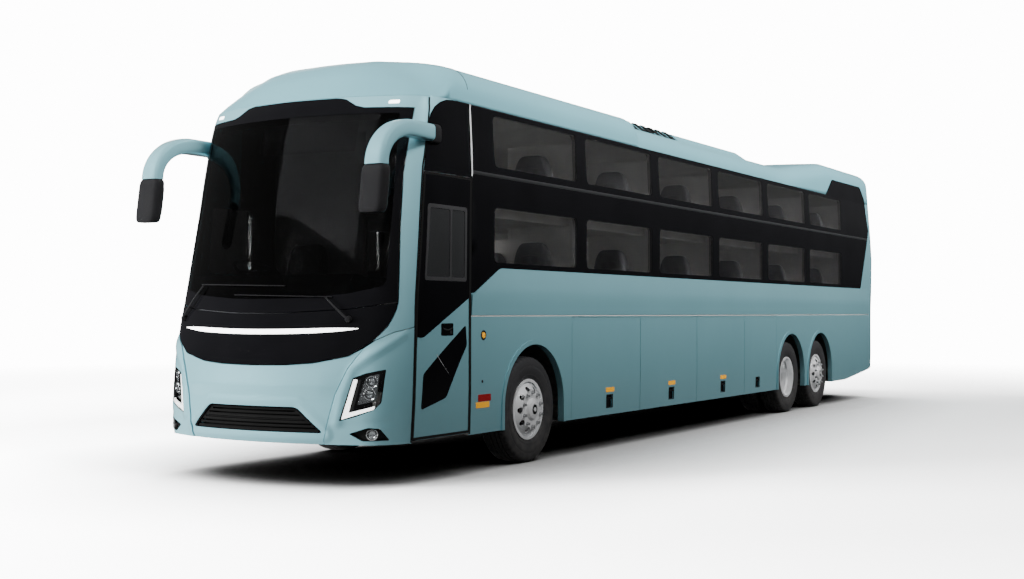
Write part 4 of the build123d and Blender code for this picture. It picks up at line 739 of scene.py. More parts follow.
class COACH_OT_nose(bpy.types.Operator):
    """Front panel, corner panels, mask and pillars, cut from the bowed body surface"""
    bl_idname = "coach.nose"
    bl_label = "Nose panels"

    def execute(self, context):
        gap = context.scene.coach_sizes.gap / MM
        front = nose(whole(BUMPER_SIDE + MASK_FOOT[3::-1]))
        front = slab(inset(front, gap), [rounded(nose(INTAKE), 45)], -9, 30, 24, nose_creases)
        piece("front_panel_skin", front, "paint", replaces=["front_panel"], bevel=6)
        corner = np.vstack([nose([(732, SKIRT), (1000, SKIRT)]), flank(seam(SKIRT, 1352)),
                            nose([(1221, 1309), (1115, 1244), *BUMPER_SIDE[:0:-1]])])
        corner = slab(inset(corner, gap), lamp_outlines(), 0, 30, 22, nose_creases)
        piece("front_corner_skins", pair(corner), "paint", replaces=["front_corners"], bevel=6)
        band = nose([*MASK_FOOT[1:4], *MASK_SIDE, *SCREEN_FOOT[:0:-1]])
        band = np.vstack([nose(MASK_FOOT[:1]), band, nose(SCREEN_FOOT[:1]), twin(band)])
        panel("front_mask_skin", inset(band, gap), "gloss_black", 2, 30, 45, replaces=["front_mask"], bevel=5)
        side = np.vstack([nose([(1108, 1240), (1221, 1309)]), flank(seam(1352, EAVES, 24)),
                          nose([(466, EAVES), *VISOR[::-1], *SCREEN_SIDE[2::-1], *MASK_SIDE[-2::-1]])])
        panels("pillar_skins", inset(side, gap), "paint", 0, 40, 40, replaces=["windshield_frame"], bevel=5)
        panels("pillar_linings", inset(side, gap + 6), "dash", -42, 5)
        return {"FINISHED"}


class COACH_OT_screen(bpy.types.Operator):
    """Windshield with its black border and visor band, and the blind behind it"""
    bl_idname = "coach.screen"
    bl_label = "Windshield"

    def execute(self, context):
        view = rounded(nose(whole([*VIEW_FOOT, *VIEW_SIDE, (1068, 3205)])), 60)
        rim = nose(whole([*SCREEN_FOOT, *SCREEN_SIDE[1:3], *VISOR, (0, 3366)]))
        panel("screen_border", inset(rim, 4), "gloss_black", 1, 10, 55, "tinted_glass", [view], bevel=3)
        panel("screen_pane", inset(view, -8), "screen_glass", -2, 6, 70, replaces=["windshield"])
        blind = rounded(nose(box(-350, 2880, 700, 3150)), 20)
        panel("sun_blind", blind, "dash", -70, 4, 80, "interior_panel", bevel=1.5)
        header = nose([(-1040, 3160), (1040, 3160), (1030, 3330), (-1030, 3330)])
        panel("header_trim", header, "dash", -60, 30, 80, "interior_panel", bevel=4)
        return {"FINISHED"}


def bowl(x, z, profile, out=0.0, segments=32):
    """Round part facing out of the nose at a front-view place, profile of (distance out, radius)."""
    place = nose([(x, z)])
    turn = float(heading(place[0, 0], place[0, 1]))
    axis = (math.copysign(math.sin(turn), x), -math.cos(turn), 0)
    return turned(profile, laid(place, out)[0], axis, segments)


class COACH_OT_lamps(bpy.types.Operator):
    """Head lamp units, fog pods, roof lamps, bright strip and intake"""
    bl_idname = "coach.lamps"
    bl_label = "Lamps and intake"

    def execute(self, context):
        lamp, pod = lamp_outlines()
        piece("lamp_tubs", pair(recess(inset(lamp, 1), 75)), "gloss_black", replaces=["front_lamps"])
        piece("pod_tubs", pair(recess(inset(pod, 1), 40)), "trim")
        panels("lamp_covers", inset(lamp, 3), "lens", -2, 4, 40, bevel=1.5)
        blade = nose([(884, 580), (1134, 666), (1142, 692), (938, 636), (1000, 912), (970, 916)])
        panels("day_lights", rounded(blade, 8), "white_light", -8, 16, 30, "lamp_lens", bevel=2)
        shelf = nose([(1000, 700), (1150, 735), (1165, 960), (1060, 930)])
        panels("lamp_bezels", rounded(shelf, 14), "chrome", -48, 14, 30, bevel=4)
        cup = [(-10, 0), (-10, 20), (2, 44), (12, 48), (12, 42), (4, 38), (4, 34), (16, 22), (21, 0)]
        ring = [(0, 40), (0, 52), (10, 54), (15, 50), (12, 44), (2, 40)]
        for name, shape, look, depth in (("projectors", cup, "lens", -40),
                                         ("projector_rings", ring, "chrome", -36)):
            both = bowl(1100, 790, shape, depth), bowl(1112, 895, shape, depth - 2)
            piece(name, pair(joined(*both)), look)
        fins = [nose([(1010 + 8 * n, 716 + 36 * n), (1044 + 6 * n, 722 + 36 * n),
                      (1046 + 6 * n, 736 + 36 * n), (1012 + 8 * n, 730 + 36 * n)]) for n in range(5)]
        fins = [slab(rounded(fin, 3), [], -20, 26, 30) for fin in fins]
        piece("lamp_fins", pair(joined(*fins)), "chrome", bevel=1)
        fog = [(-16, 0), (-16, 46), (6, 50), (10, 46), (4, 40), (-6, 22), (-8, 0)]
        piece("fog_bowls", pair(bowl(1120, 456, fog, -8)), "chrome")
        fog = [(0, 0), (0, 41), (3, 41), (9, 24), (11, 0)]
        piece("fog_lenses", pair(bowl(1120, 456, fog, -6)), "lens")
        x = np.linspace(-970, 970, 61)
        share = (x / 970) ** 2
        thin, middle = 19.0 * (1 - share ** 3) + 2, 1308 + 30 * share
        strip = np.vstack([np.column_stack([x, middle - thin]), np.column_stack([x, middle + thin])[::-1]])
        panel("bright_strip", nose(strip), "white_light", 8, 10, 40, bevel=2)
        crown = rounded(nose([(950, 3292), (1042, 3294), (1040, 3326), (952, 3324)]), 12)
        panels("roof_lamps", crown, "white_light", 3, 6, 30, "lamp_lens", bevel=2)
        outer = rounded(nose([(-752, 446), (752, 446), (500, 690), (-500, 690)]), 50)
        inner = rounded(nose([(-700, 470), (700, 470), (478, 664), (-478, 664)]), 40)
        panel("intake_frame", outer, "gloss_black", -13, 26, 45, holes=[inner], bevel=4)
        # painted shade: a black sheet 100 behind the intake's face, standing in for the shade inside it
        panel("intake_painted_shade", outer, "void", -100, 12)
        across = np.linspace(-1, 1, 41)
        bars = [swept(laid(nose(level(across * (690 - (z - 470) * 1.12), z)), -34), 9, 5, sides=8)
                for z in np.arange(488, 660, 27.0)]
        piece("intake_bars", joined(*bars), "void")
        return {"FINISHED"}


class COACH_OT_wipers(bpy.types.Operator):
    """Wiper arms and blades that lie on the windshield"""
    bl_idname = "coach.wipers"
    bl_label = "Wipers"

    def execute(self, context):
        parts = []
        for pivot, heel, tip in np.array(WIPERS, float):
            t = np.linspace(0, 1, 15)[:, None]
            arm = laid(nose(pivot * (1 - t) + heel * t), 26)
            arm[:, 1] -= 8 * np.sin(t[:, 0] * 3.1)
            parts.append(swept(arm, np.linspace(13, 7, 15), np.linspace(9, 5, 15), up=(0, 1, 0), sides=10))
            t = np.linspace(0, 1, 41)[:, None]
            line = nose(heel * (1 - t) + tip * t + (heel - tip) * 0.05)
            parts.append(swept(laid(line, 9), 5, 12, up=(0, 1, 0), sides=8))
            parts.append(swept(laid(line[6:-6], 20), 4, 6, up=(0, 1, 0), sides=8))
            parts.append(bowl(*pivot, [(0, 0), (0, 30), (20, 28), (34, 18), (36, 0)]))
        piece("wiper_set", joined(*parts), "trim", replaces=["wipers"])
        return {"FINISHED"}


def mirror_arch(reach, rise):
    """Side-view line of the mirror arm: straight ahead, then a quarter ellipse down to the head's top."""
    lead, turn = np.linspace(0, 1, 8)[:-1], np.linspace(0, math.pi / 2, 24)
    return np.vstack([np.column_stack([FA - 1830 - 300 * lead, HEAD_TOP + rise + 0 * lead]),
                      np.column_stack([FA - 2130 - reach * np.sin(turn), HEAD_TOP + rise * np.cos(turn)])])


class COACH_OT_mirrors(bpy.types.Operator):
    """Arched mirror arms, their black roots, their heads and glasses"""
    bl_idname = "coach.mirrors"
    bl_label = "Mirrors"

    def execute(self, context):
        angle = circle(28)
        over, under = mirror_arch(528, 423), mirror_arch(396, 273)
        wide = 72 + 26 * np.linspace(0, 1, len(over))
        x = MIRROR_X + wide[:, None] * power(np.sin(angle), 0.55)[None]
        rise = power(np.cos(angle), 0.55)[None, :, None]
        yz = (over + under)[:, None] / 2 + (over - under)[:, None] / 2 * rise
        arm = np.concatenate([x[..., None], yz], -1)[:, ::-1]
        piece("mirror_arm_shells", pair(closed_grid(arm)), "paint", replaces=["mirror_arms"])
        root = lump((70, 62, 84), (MIRROR_X, FA - 1775, 3030), 0.3, 0.3, 16, 28)
        piece("mirror_roots", pair(root), "trim")
        share = 0.5 - 0.5 * np.cos(math.pi * np.linspace(0, 1, 25)[:, None])
        draw = 0.72 + 0.28 * (1 - np.abs(2 * share - 1) ** 8) ** 0.5
        x = MIRROR_X + 118 * draw * power(np.cos(angle), 0.5)
        y = HEAD_FRONT + HEAD_LEAN * share + 70 - 68 * draw * power(np.sin(angle), 0.5)
        head = np.stack([x, y, HEAD_TOP - HEAD_RISE * (1 - share) + 0 * x], -1)[:, ::-1]
        piece("mirror_head_shells", pair(closed_grid(head)), "trim", replaces=["mirror_heads"])
        ring = np.stack([96 * power(np.cos(angle), 0.4), 168 * power(np.sin(angle), 0.4)], -1)
        ring = ring * np.array([0.0, 0.97, 1.0, 1.0])[:, None, None]
        depth = 139 + np.array([1.0, 1.0, -1.0, -9.0])[:, None]
        back = HEAD_FRONT + HEAD_LEAN * (ring[..., 1] / HEAD_RISE + 0.5) + depth
        glass = np.stack([MIRROR_X + ring[..., 0], back, HEAD_TOP - HEAD_RISE / 2 + ring[..., 1]], -1)[::-1]
        piece("mirror_glasses", pair(closed_grid(glass)), "dark_glass")
        return {"FINISHED"}


def soft_min(a, b, width):
    """Smaller of two heights, rounded where they meet by a parabola of that width."""
    h = np.clip(0.5 + (b - a) / (2 * width), 0, 1)
    return b * (1 - h) + a * h - width * h * (1 - h)


def roof_section(x, edge, crown):
    """Height of a crowned section: a 260 corner arc up to a wide crown arc that touches it."""
    centre, radius = 1015.0, 260.0
    rise = crown - edge
    wide = (centre ** 2 + rise ** 2 - radius ** 2) / (2 * (rise - radius))
    low = edge + rise - wide
    join = centre + radius * centre / np.hypot(centre, edge - low)
    arc = edge + np.sqrt(np.clip(radius ** 2 - np.clip(np.abs(x) - centre, 0, None) ** 2, 0, None))
    return np.where(np.abs(x) < join, low + np.sqrt(wide ** 2 - x ** 2), arc)


def end_line(a, half, middle, corner, bow, turn, angle, way):
    """Y of an end's plan outline at a distance from the middle: the bow's arc, then the corner's."""
    broad = middle + way * (bow - np.sqrt(bow ** 2 - np.minimum(a, 1275) ** 2))
    tight = corner - way * np.sqrt(np.clip(turn ** 2 - np.clip(a - half + turn, 0, turn) ** 2, 0, None))
    return np.where(a < bow * np.sin(angle), broad, tight)


def roof_height(x, y):
    """Height of the roof: the highest of the low, fairing and dome sections, each under its ramp's plane, and
    all under the rounded ends, whose set-back grows with height as the body table says; both front corners
    fall away by a share of their height that grows outwards and forwards."""
    low = roof_section(x, 3376, 3706)
    fairing = np.minimum(roof_section(x, 3460, 3840), 3840 - (y + 2590) * 0.785)
    fairing = np.where(y < -2330, fairing, 3300)
    crown = np.clip(3636 + (y - DOME) * 0.1264, 3706, 3990)
    edge = np.minimum(3376 + 264 * smooth(np.clip((y - DOME) / 2330, 0, 1)), crown - 285)
    dome = np.where(y > DOME, roof_section(x, edge, crown), 3300)
    top = np.maximum(np.maximum(low, fairing), dome)
    a = np.abs(x)
    half, front, rear, phi, psi, front_turn, rear_turn, *_ = plan(EAVES)
    behind = y - end_line(a, half, front, front_turn, NOSE_BOW, NOSE_TURN, phi, 1)
    ahead = end_line(a, half, rear, rear_turn, TAIL_BOW, TAIL_TURN, psi, -1) - y
    rows = ROWS[ROWS[:, 0] >= EAVES]
    nose_cap = np.interp(behind, rows[:, 2] - rows[0, 2], rows[:, 0])
    stern_cap = np.interp(ahead, rows[:, 3] - rows[0, 3], rows[:, 0])
    height = np.minimum(soft_min(soft_min(top, nose_cap, 60), stern_cap, 30), 3989)
    near = smooth(np.clip((-6150 - y) / 300, 0, 1))
    drop = 0.62 * np.clip((a - 500) / 700, 0, 1) ** 1.5 * near
    return height - np.maximum(height - EAVES, 0) * drop


class COACH_OT_roof(bpy.types.Operator):
    """Roof skin with its fairing, ramp, dome and rounded ends, and its cross seam"""
    bl_idname = "coach.roof"
    bl_label = "Roof"

    def execute(self, context):
        one, two, three, four = [float(v) for v in plan(EAVES)[7:]]
        total = float(stern([(0, EAVES)])[0, 0])
        s = np.concatenate([np.linspace(0, one, 26)[:-1], np.linspace(one, two, 20)[:-1],
                            np.linspace(two, three, 240)[:-1], np.linspace(three, four, 8)[:-1],
                            np.linspace(four, total, 24)])
        foot = skin(s, EAVES)
        spine = np.clip(foot[:, 1], -5650, 6700)
        inward = np.array([0, 0.004, 0.01, 0.02, 0.035, 0.055, 0.08, 0.11, 0.14, 0.17, 0.2, 0.24, 0.28,
                           0.33, 0.39, 0.45, 0.52, 0.6, 0.68, 0.76, 0.84, 0.92, 1.0])[:, None]
        x = foot[:, 0] * (1 - inward)
        y = foot[:, 1] + (spine - foot[:, 1]) * inward
        z = np.maximum(roof_height(x, y), EAVES)
        wall = np.linspace(0, 1, 5)[:-1, None]
        x = np.vstack([x[0] + 0 * wall, x])
        y = np.vstack([y[0] + 0 * wall, y])
        z = np.vstack([EAVES + (z[0] - EAVES) * wall, z])
        grid = np.stack([x, y, z], -1)
        ring = np.concatenate([grid, (grid[:, ::-1] * (-1, 1, 1))[:, 1:-1]], 1)
        mesh = ring.reshape(-1, 3), [lattice(*ring.shape[:2])]
        obj = piece("roof_skin", mesh, "roof_coat", replaces=["roof"], crease=50)
        work = bmesh.new()
        work.from_mesh(obj.data)
        bmesh.ops.remove_doubles(work, verts=work.verts, dist=0.0004)
        bmesh.ops.dissolve_degenerate(work, dist=0.0001, edges=work.edges)
        bmesh.ops.recalc_face_normals(work, faces=work.faces)
        work.to_mesh(obj.data)
        work.free()
        if max(obj.data.polygons, key=lambda face: face.center.z).normal.z < 0:
            obj.data.flip_normals()
        wall = obj.modifiers.new("wall", "SOLIDIFY")
        wall.thickness, wall.offset, wall.material_offset = 0.03, -1, 1
        obj.data.materials.append(bpy.data.materials["cabin"])
        x = 1272 * np.sin(np.linspace(0, 1, 60) * math.pi / 2)
        y = np.full(60, FA - 1215)
        cross = np.column_stack([x, y, roof_height(x, y) + 0.5])
        piece("roof_seams", pair(swept(cross, 5, 2.5, sides=6)), "rubber")
        return {"FINISHED"}


class COACH_OT_cooler(bpy.types.Operator):
    """Slanted slots and panel joints of the roof air conditioner"""
    bl_idname = "coach.cooler"
    bl_label = "Roof cooler"

    def execute(self, context):
        faces = np.array([(0, 1, 2, 3), (7, 6, 5, 4), (0, 4, 5, 1), (1, 5, 6, 2), (2, 6, 7, 3), (3, 7, 4, 0)])
        slots = []
        for y in FA + 2770 + 218 * np.arange(6):
            face = np.array([(1070, y + 70, 3626), (1070, y + 195, 3626),
                             (940, y + 125, 3742), (940, y, 3742)])
            slots.append((np.vstack([face, face - (14, 0, 12)]), [faces]))
        piece("cooler_louvres", pair(joined(*slots)), "void", bevel=1)
        arch = ((450, 3813), (225, 3815), (0, 3815.5), (-225, 3815), (-450, 3813))
        joints = [swept([(x, y, z) for x, z in arch], 3, 2, sides=6) for y in (FA + 4300, FA + 5300)]
        piece("cooler_joints", joined(*joints), "rubber")
        return {"FINISHED"}


def window(number, rows):
    """Side-view outline of one window opening between two heights."""
    front = FIRST + number * PITCH
    return box(front, rows[0], front + LENGTH, rows[1])


def shoulder(s, z, out):
    """Side below the glass: the body surface moved out by up to 17, in straight slopes from the glass down to
    the fold at 1650 and from there to the waist."""
    return skin(s, z, out + np.interp(z, (1437, 1645, 1655, 1890), (4.0, 17.0, 17.0, 1.0)))


class COACH_OT_shoulders(bpy.types.Operator):
    """Side skins between the waist and the glass, with their long fold, a pale strip of painted highlight and
    a dark gap along the waist, and the bright trims by the door
    """
    bl_idname = "coach.shoulders"
    bl_label = "Side shoulders"

    def execute(self, context):
        start = DOOR_REAR + 12
        side = np.vstack([[(WAIST_REAR, 1449), (WAIST_REAR, 1888), (DOOR_REAR + 517, 1888),
                           (DOOR_REAR + 62, 1652)], upright(start + 4, 1644, 1449, 5)])
        piece("side_shoulders", pair(slab(flank(side), [], 0, 5, 70, shoulder)), "paint", bevel=1.5)
        y = np.linspace(start, WAIST_REAR, 60)
        # painted highlight: the pale strip below the waist gap stands in for the flaps' top edges catching
        # light
        for name, low, high, out, look in (("waist_painted_highlights", 1439, 1444, 2.5, "plate"),
                                           ("waist_gaps", 1444, 1449, 1.0, "void")):
            panels(name, flank(np.vstack([level(y, low), level(y, high)[::-1]])), look, out, 3, 300)
        strip = np.vstack([upright(DOOR_REAR - 6, 2712, 3366, 8), upright(start, 3366, 2712, 8)])
        panels("pillar_trims", flank(strip), "alloy", 7, 8, 80, "chassis_steel", bevel=1.5)
        return {"FINISHED"}


def band_edge(z):
    """Y of the slanted rear edge of the black side bands."""
    return float(np.interp(z, REAR_EDGE[:, 0], REAR_EDGE[:, 1]))


def step_plane(y, z, out):
    """Upright plane of the raised panes beside the roof's step."""
    return np.column_stack([1277 + out + 0 * y, y, z])


def door_frame(ahead, low, behind, high, top_ahead, low_line=1742):
    """Outline between the seam behind the nose and the door's rear edge, from one height to another."""
    return flank([(door_line(low_line, ahead), low), (DOOR_REAR - behind, low), (DOOR_REAR - behind, high),
                  (door_line(high, top_ahead), high)])


class COACH_OT_side_glass(bpy.types.Operator):
    """Side glass: black bands with clear windows, belt ledge, driver's window, step panes, rear window"""
    bl_idname = "coach.side_glass"
    bl_label = "Side glass"

    def execute(self, context):
        start = DOOR_REAR + 12
        low = [(start, 1650), (DOOR_REAR + 60, 1650), (DOOR_REAR + 520, 1890), (band_edge(1890), 1890),
               (band_edge(2745), 2745), (start, 2745)]
        high = [(start, 2755), (band_edge(2755), 2755), (band_edge(2902), 2902), (band_edge(3365), 3365),
                (start, 3365)]
        holes = [[rounded(flank(window(n, rows)), 60) for n in range(BAYS)] for rows in (LOW, HIGH)]
        bands = (slab(inset(rounded(flank(low), (0, 30, 60, 20, 20, 0)), 1), holes[0], 2, 6, 110),
                 slab(inset(rounded(flank(high), 12), 1), holes[1], 1.5, 6, 110))
        piece("side_bands", pair(joined(*bands)), "gloss_black", "tinted_glass", replaces=["glazing"],
              bevel=1.2)
        panes = [slab(inset(hole, -4), [], out, 4, 200) for row, out in zip(holes, (0.5, 0)) for hole in row]
        piece("side_panes", pair(joined(*panes)), "side_glass")
        above = door_frame(6, 2700, 2, 3366, 30, 2700)
        panels("over_door_panels", rounded(above, (10, 5, 5, 250)), "gloss_black", 5, 7, bevel=1.2)
        step = [(FA + 9500, 3362), (FA + 11765, 3362), (FA + 11720, 3440), (FA + 11450, 3640),
                (FA + 9845, 3636)]
        step = slab(rounded(step, (10, 10, 60, 60, 40)), (), 0, 4, 60, step_plane)
        piece("step_panes", pair(step), "gloss_black", "tinted_glass", bevel=1.2)
        driver = door_frame(14, 1650, 0, 2716, 14, 1650)
        opening = [(FA - 1862, 1852), (FA - 1278, 1852), (FA - 1278, 2484), (FA - 1810, 2484)]
        opening = rounded(flank(opening), 50)
        panel("driver_band", twin(rounded(driver, 12)), "gloss_black", 2, 5, 60, "tinted_glass",
              [twin(opening)], bevel=1.2)
        panel("driver_pane", twin(inset(opening, -4)), "side_glass", -1, 4, 120)
        y = np.linspace(DOOR_REAR + 16, band_edge(2760) - 10, 120)
        ledge = swept(laid(flank(level(y, 2752)), 0.5), 4, 17, sides=10, square=0.6)
        piece("belt_ledges", pair(ledge), "belt")
        rear = rounded(stern([(1016, 2084), (-1016, 2084), (-956, 3046), (956, 3046)]), 60)
        panel("rear_pane", rear, "side_glass", -1, 6, 110)
        panel("rear_window_border", inset(rear, -14), "gloss_black", 1, 3, 80, "tinted_glass",
              [inset(rear, 40)], bevel=1)
        return {"FINISHED"}


class COACH_OT_door(bpy.types.Operator):
    """Entrance door: black upper panel, window frame, lower window, handle and seals, and the nose's seam"""
    bl_idname = "coach.door"
    bl_label = "Entrance door"

    def execute(self, context):
        def leaf(name, *rest, holes=(), slot="black_trim", **more):
            panel(name, *rest, slot=slot, holes=holes, body="door_leaf", **more)

        upper = np.vstack([[(door_line(1262, 14), 1268), (FA - 1959, 1252), (DOOR_REAR - 16, 1611)],
                           upright(DOOR_REAR - 16, 1700, 2680), seam(1290, 2676, 14, 14)[::-1]])
        radii = np.zeros(len(upper))
        radii[:3] = 30, 90, 10
        hole = rounded(door_frame(112, 1770, 92, 2402, 82), 26)
        leaf("door_black_panel", rounded(flank(upper), radii), "gloss_black", 4, 6, holes=[hole], bevel=1.2)
        views = [rounded(door_frame(128, 1786, 350, 2386, 98), 20),
                 rounded(flank(box(DOOR_REAR - 322, 1786, DOOR_REAR - 108, 2386)), 20)]
        leaf("door_window_frame", rounded(door_frame(96, 1752, 74, 2420, 64), 30), "frame", 5.5, 8,
             holes=views, bevel=1.5)
        low = flank([(door_line(648, 122), 640), (DOOR_REAR - 402, 724), (DOOR_REAR - 62, 1176),
                     (DOOR_REAR - 80, 1362), (door_line(940, 140), 944)])
        leaf("door_quarter_frame", rounded(low, 30), "gloss_black", 3, 5, 50, bevel=1.2)
        bar = flank([(FA - 1745, 1112), (FA - 1731, 1092), (FA - 1535, 918), (FA - 1549, 930)])
        leaf("door_quarter_bar", bar, "alloy", 5, 4, bevel=1)
        grip = rounded(flank(box(FA - 1669, 1272, FA - 1479, 1378)), 14)
        leaf("door_grip_plate", grip, "gloss_black", 4.5, 5, 40, bevel=1.2)
        t = np.linspace(0, 1, 13)
        lever = flank(np.column_stack([FA - 1650 + 150 * t, 1336 - 16 * np.sin(math.pi * t)]))
        lock = turned([(0, 0), (0, 17), (4, 17), (5, 12), (5, 0)], laid(flank([(FA - 1520, 1300)]), 2.0)[0],
                      segments=24)
        piece("door_grip", joined(swept(laid(lever, 7), 3, 6, sides=10), lock), "belt", "chassis_steel",
              body="door_leaf")
        outline = np.vstack([seam(398, 2680, 24, 6)[::-1], [(door_line(398, 6), 388)],
                             upright(DOOR_REAR - 6, 388, 2692), [(door_line(2692, 6), 2692)]])
        outline = flank(tidy_loop(outline))
        rubber = inset(outline, context.scene.coach_sizes.seal / MM)
        leaf("door_leaf_seal", outline, "void", 4.5, 9, holes=[rubber], bevel=1.5)
        span = 372, 3360, 30
        gaps = [np.vstack([seam(*span, -14)[::-1], seam(*span, 1)]),
                np.vstack([upright(DOOR_REAR - 1, *span)[::-1], upright(DOOR_REAR + 14, *span)])]
        piece("nose_seam_rubber", pair(joined(*[slab(flank(gap), [], 1.2, 8) for gap in gaps])), "void")
        return {"FINISHED"}


class COACH_OT_side_details(bpy.types.Operator):
    """Marker lamps, handles of the luggage flaps, reflectors, round socket and waist line"""
    bl_idname = "coach.side_details"
    bl_label = "Side details"

    def execute(self, context):
        for side, hand in ((1, "left"), (-1, "right")):
            for n, rear in enumerate((*[FA + FLAP_FRONT + FLAP * k for k in (1, 2, 3)], DRIVE - 645)):
                label, grip = "%s_%d" % (hand, n + 1), rear - 785
                body = "flap_" + label
                plate = rounded(flank(box(grip - 82, 436, grip + 82, 584)), 10)
                lamp = rounded(flank(box(grip - 95, 610, grip + 105, 660)), 9)
                inner = inset(plate, 9)
                if side < 0:
                    plate, inner, lamp = twin(plate), twin(inner), twin(lamp)
                panel("flap_grip_frame_" + label, plate, "trim", 1.5, 6, 40, holes=[inner], body=body,
                      bevel=1.2)
                pull = flank(level(np.linspace(grip - 60, grip + 60, 9), 540)) * (side, 1)
                pull = joined(slab(inner, [], -18, 3, 40), swept(laid(pull, -7), 6, 12, sides=10))
                piece("flap_grip_" + label, pull, "gloss_black", body=body)
                if n < 3:
                    panel("flap_marker_" + label, lamp, "amber", 2, 4, 40, "tail_lens", body=body, bevel=1.5)
        marker, reflector = (FA - 1089, 598, FA - 856, 652), (FA - 1054, 656, FA - 829, 722)
        for name, corners, radius, look in (("skirt_markers", marker, 9, "amber"),
                                            ("skirt_reflectors", reflector, 12, "red_lens")):
            panels(name, rounded(flank(box(*corners)), radius), look, 2, 4, 40, "tail_lens", bevel=1.5)
        spot, dot = laid(flank([(FA - 963, 1265), (FA - 981, 840)]))
        ring = turned([(-2, 0), (-2, 46), (3, 46), (4, 38), (2, 34), (2, 0)], spot, segments=36)
        button = turned([(-2, 0), (-2, 15), (2, 14), (3, 0)], dot, segments=20)
        piece("filler_ring", joined(ring, button), "trim")
        piece("filler_lens", turned([(0, 0), (0, 30), (6, 27), (9, 12), (9, 0)], spot, segments=36), "amber",
              "tail_lens")
        for side, hand, start in ((1, "left", DOOR_REAR), (-1, "right", door_line(1437))):
            line = flank(level(np.linspace(start + 20, 7140, 160), 1440)) * (side, 1)
            piece("waist_bead_" + hand, swept(laid(line, -1), 3, 4, sides=6), "rubber")
        return {"FINISHED"}


def tread_profile(depth):
    """Tyre section as (across, radius) and a lug share: bead, bulged wall with rings, shoulder, crown with
    grooves, the same mirrored, and the inner face between the beads."""
    wall = np.array([(112, 288), (118, 296), (121, 312), (128, 322), (134, 336), (136, 340), (134.5, 344),
                     (140, 362), (145, 384), (147.5, 404), (147.5, 424), (145.5, 428), (146.5, 432),
                     (144, 452), (140.5, 474), (136, 492), (128, 505)], float)
    x = np.array([116, 104, 92, 80, 74, 72, 66, 64, 50, 32, 30, 24, 22, 10, 0], float)
    groove = np.array([0, 0, 0, 0, 0, 1, 1, 0, 0, 0, 1, 1, 0, 0, 0], float)
    half = np.vstack([wall, np.column_stack([x, 521.5 - 9 * (x / 118) ** 2 - depth * groove])])
    lug = np.concatenate([np.zeros(len(wall) - 2), [0.3, 1.0], [1, 1, 1, 1, 0.4], np.zeros(10)])
    section = np.vstack([half, half[-2::-1] * (-1, 1), [(-112, 284), (112, 284)]])
    return section, np.concatenate([lug, lug[-2::-1], [0, 0]])


def tyre(x, y, depth, count=180):
    """Tyre turned about its axle: the section's radius less the lug depth where a square wave round the
    shoulders is high."""
    section, lug = tread_profile(depth)
    angle, wave = circle(count), np.arange(count) % 4 < 1
    radius = section[:, 1, None] - 9 * lug[:, None] * wave
    points = np.stack([x + section[:, 0, None] + 0 * radius, y + radius * np.sin(angle),
                       TYRE_R + radius * np.cos(angle)], -1)
    faces = lattice(len(section) + 1, count) % (len(section) * count)
    return points.reshape(-1, 3), [faces[:, ::-1]]


def around(x, y, radius, angle):
    """Place on a circle about a wheel's axle."""
    return x, y + radius * math.sin(angle), TYRE_R + radius * math.cos(angle)


def nuts(x, y, side):
    """Wheel nuts on their pitch circle: six-sided cones on round washers."""
    washer = [(0, 0), (0, 19), (6, 19), (7, 17)]
    cone = [(6, 15.5), (26, 15.5), (30, 12), (30, 8), (36, 8), (37, 0)]
    return joined(*[turned(shape, around(x, y, NUT_CIRCLE, angle), (side, 0, 0), sides)
                    for angle in circle(NUTS) for shape, sides in ((washer, 16), (cone, 6))])


class COACH_OT_stern(bpy.types.Operator):
    """Rear: lid louvres, blank plate in its recess, reflectors, lamp divisions and stop lamp"""
    bl_idname = "coach.stern"
    bl_label = "Rear details"

    def execute(self, context):
        def lid(name, outline, look, out, thick, bevel, holes=()):
            panel(name, outline, look, out, thick, holes=holes, body="engine_lid", bevel=bevel)

        frame = rounded(stern(box(-600, 1010, 600, 1400)), 30)
        lid("lid_louvre_frame", frame, "trim", 4, 8, 1.5, [inset(frame, 22)])
        lid("lid_louvre_back", inset(frame, 20), "void", 1, 4, 0)
        bars = [slab(stern(box(-578, z, 578, z + 20)), [], 4, 6) for z in range(1040, 1371, 42)]
        piece("lid_louvre_bars", joined(*bars), "trim", body="engine_lid", bevel=1)
        lid("plate_recess", rounded(stern(box(-300, 720, 300, 900)), 20), "trim", 3, 6, 1.5)
        lid("blank_plate", rounded(stern(box(-260, 755, 260, 865)), 8), "plate", 6, 4, 1)
        lamps = [slab(stern(box(x, 880, x + 60, 893)), [], 7, 5) for x in (-160, 100)]
        piece("plate_lamps", joined(*lamps), "lens", body="engine_lid", bevel=1)
        reflector = rounded(stern(box(-1080, 690, -880, 722)), 12)
        panels("rear_reflectors", reflector, "red_lens", 2.5, 4, 50, "lamp_lens", bevel=1)
        bars = [slab(stern(box(1066, z, 1209, z + 8)), [], 1.6, 5) for z in (1290, 1420, 1560, 1720)]
        piece("tail_lamp_bars", pair(joined(*bars)), "trim", bevel=0.5)
        for name, low, high, look in (("turn_lamps", 1430, 1550, "amber"),
                                      ("reversing_lamps", 1300, 1412, "lens")):
            lamp = rounded(stern(box(1078, low, 1198, high)), 12)
            panels(name, lamp, look, 1.5, 4, 50, "lamp_lens", bevel=1)
        stop = rounded(stern(box(-330, 3120, 330, 3160)), 14)
        panel("high_stop_lamp", stop, "red_lens", 2, 5, 50, "lamp_lens", bevel=1)
        return {"FINISHED"}


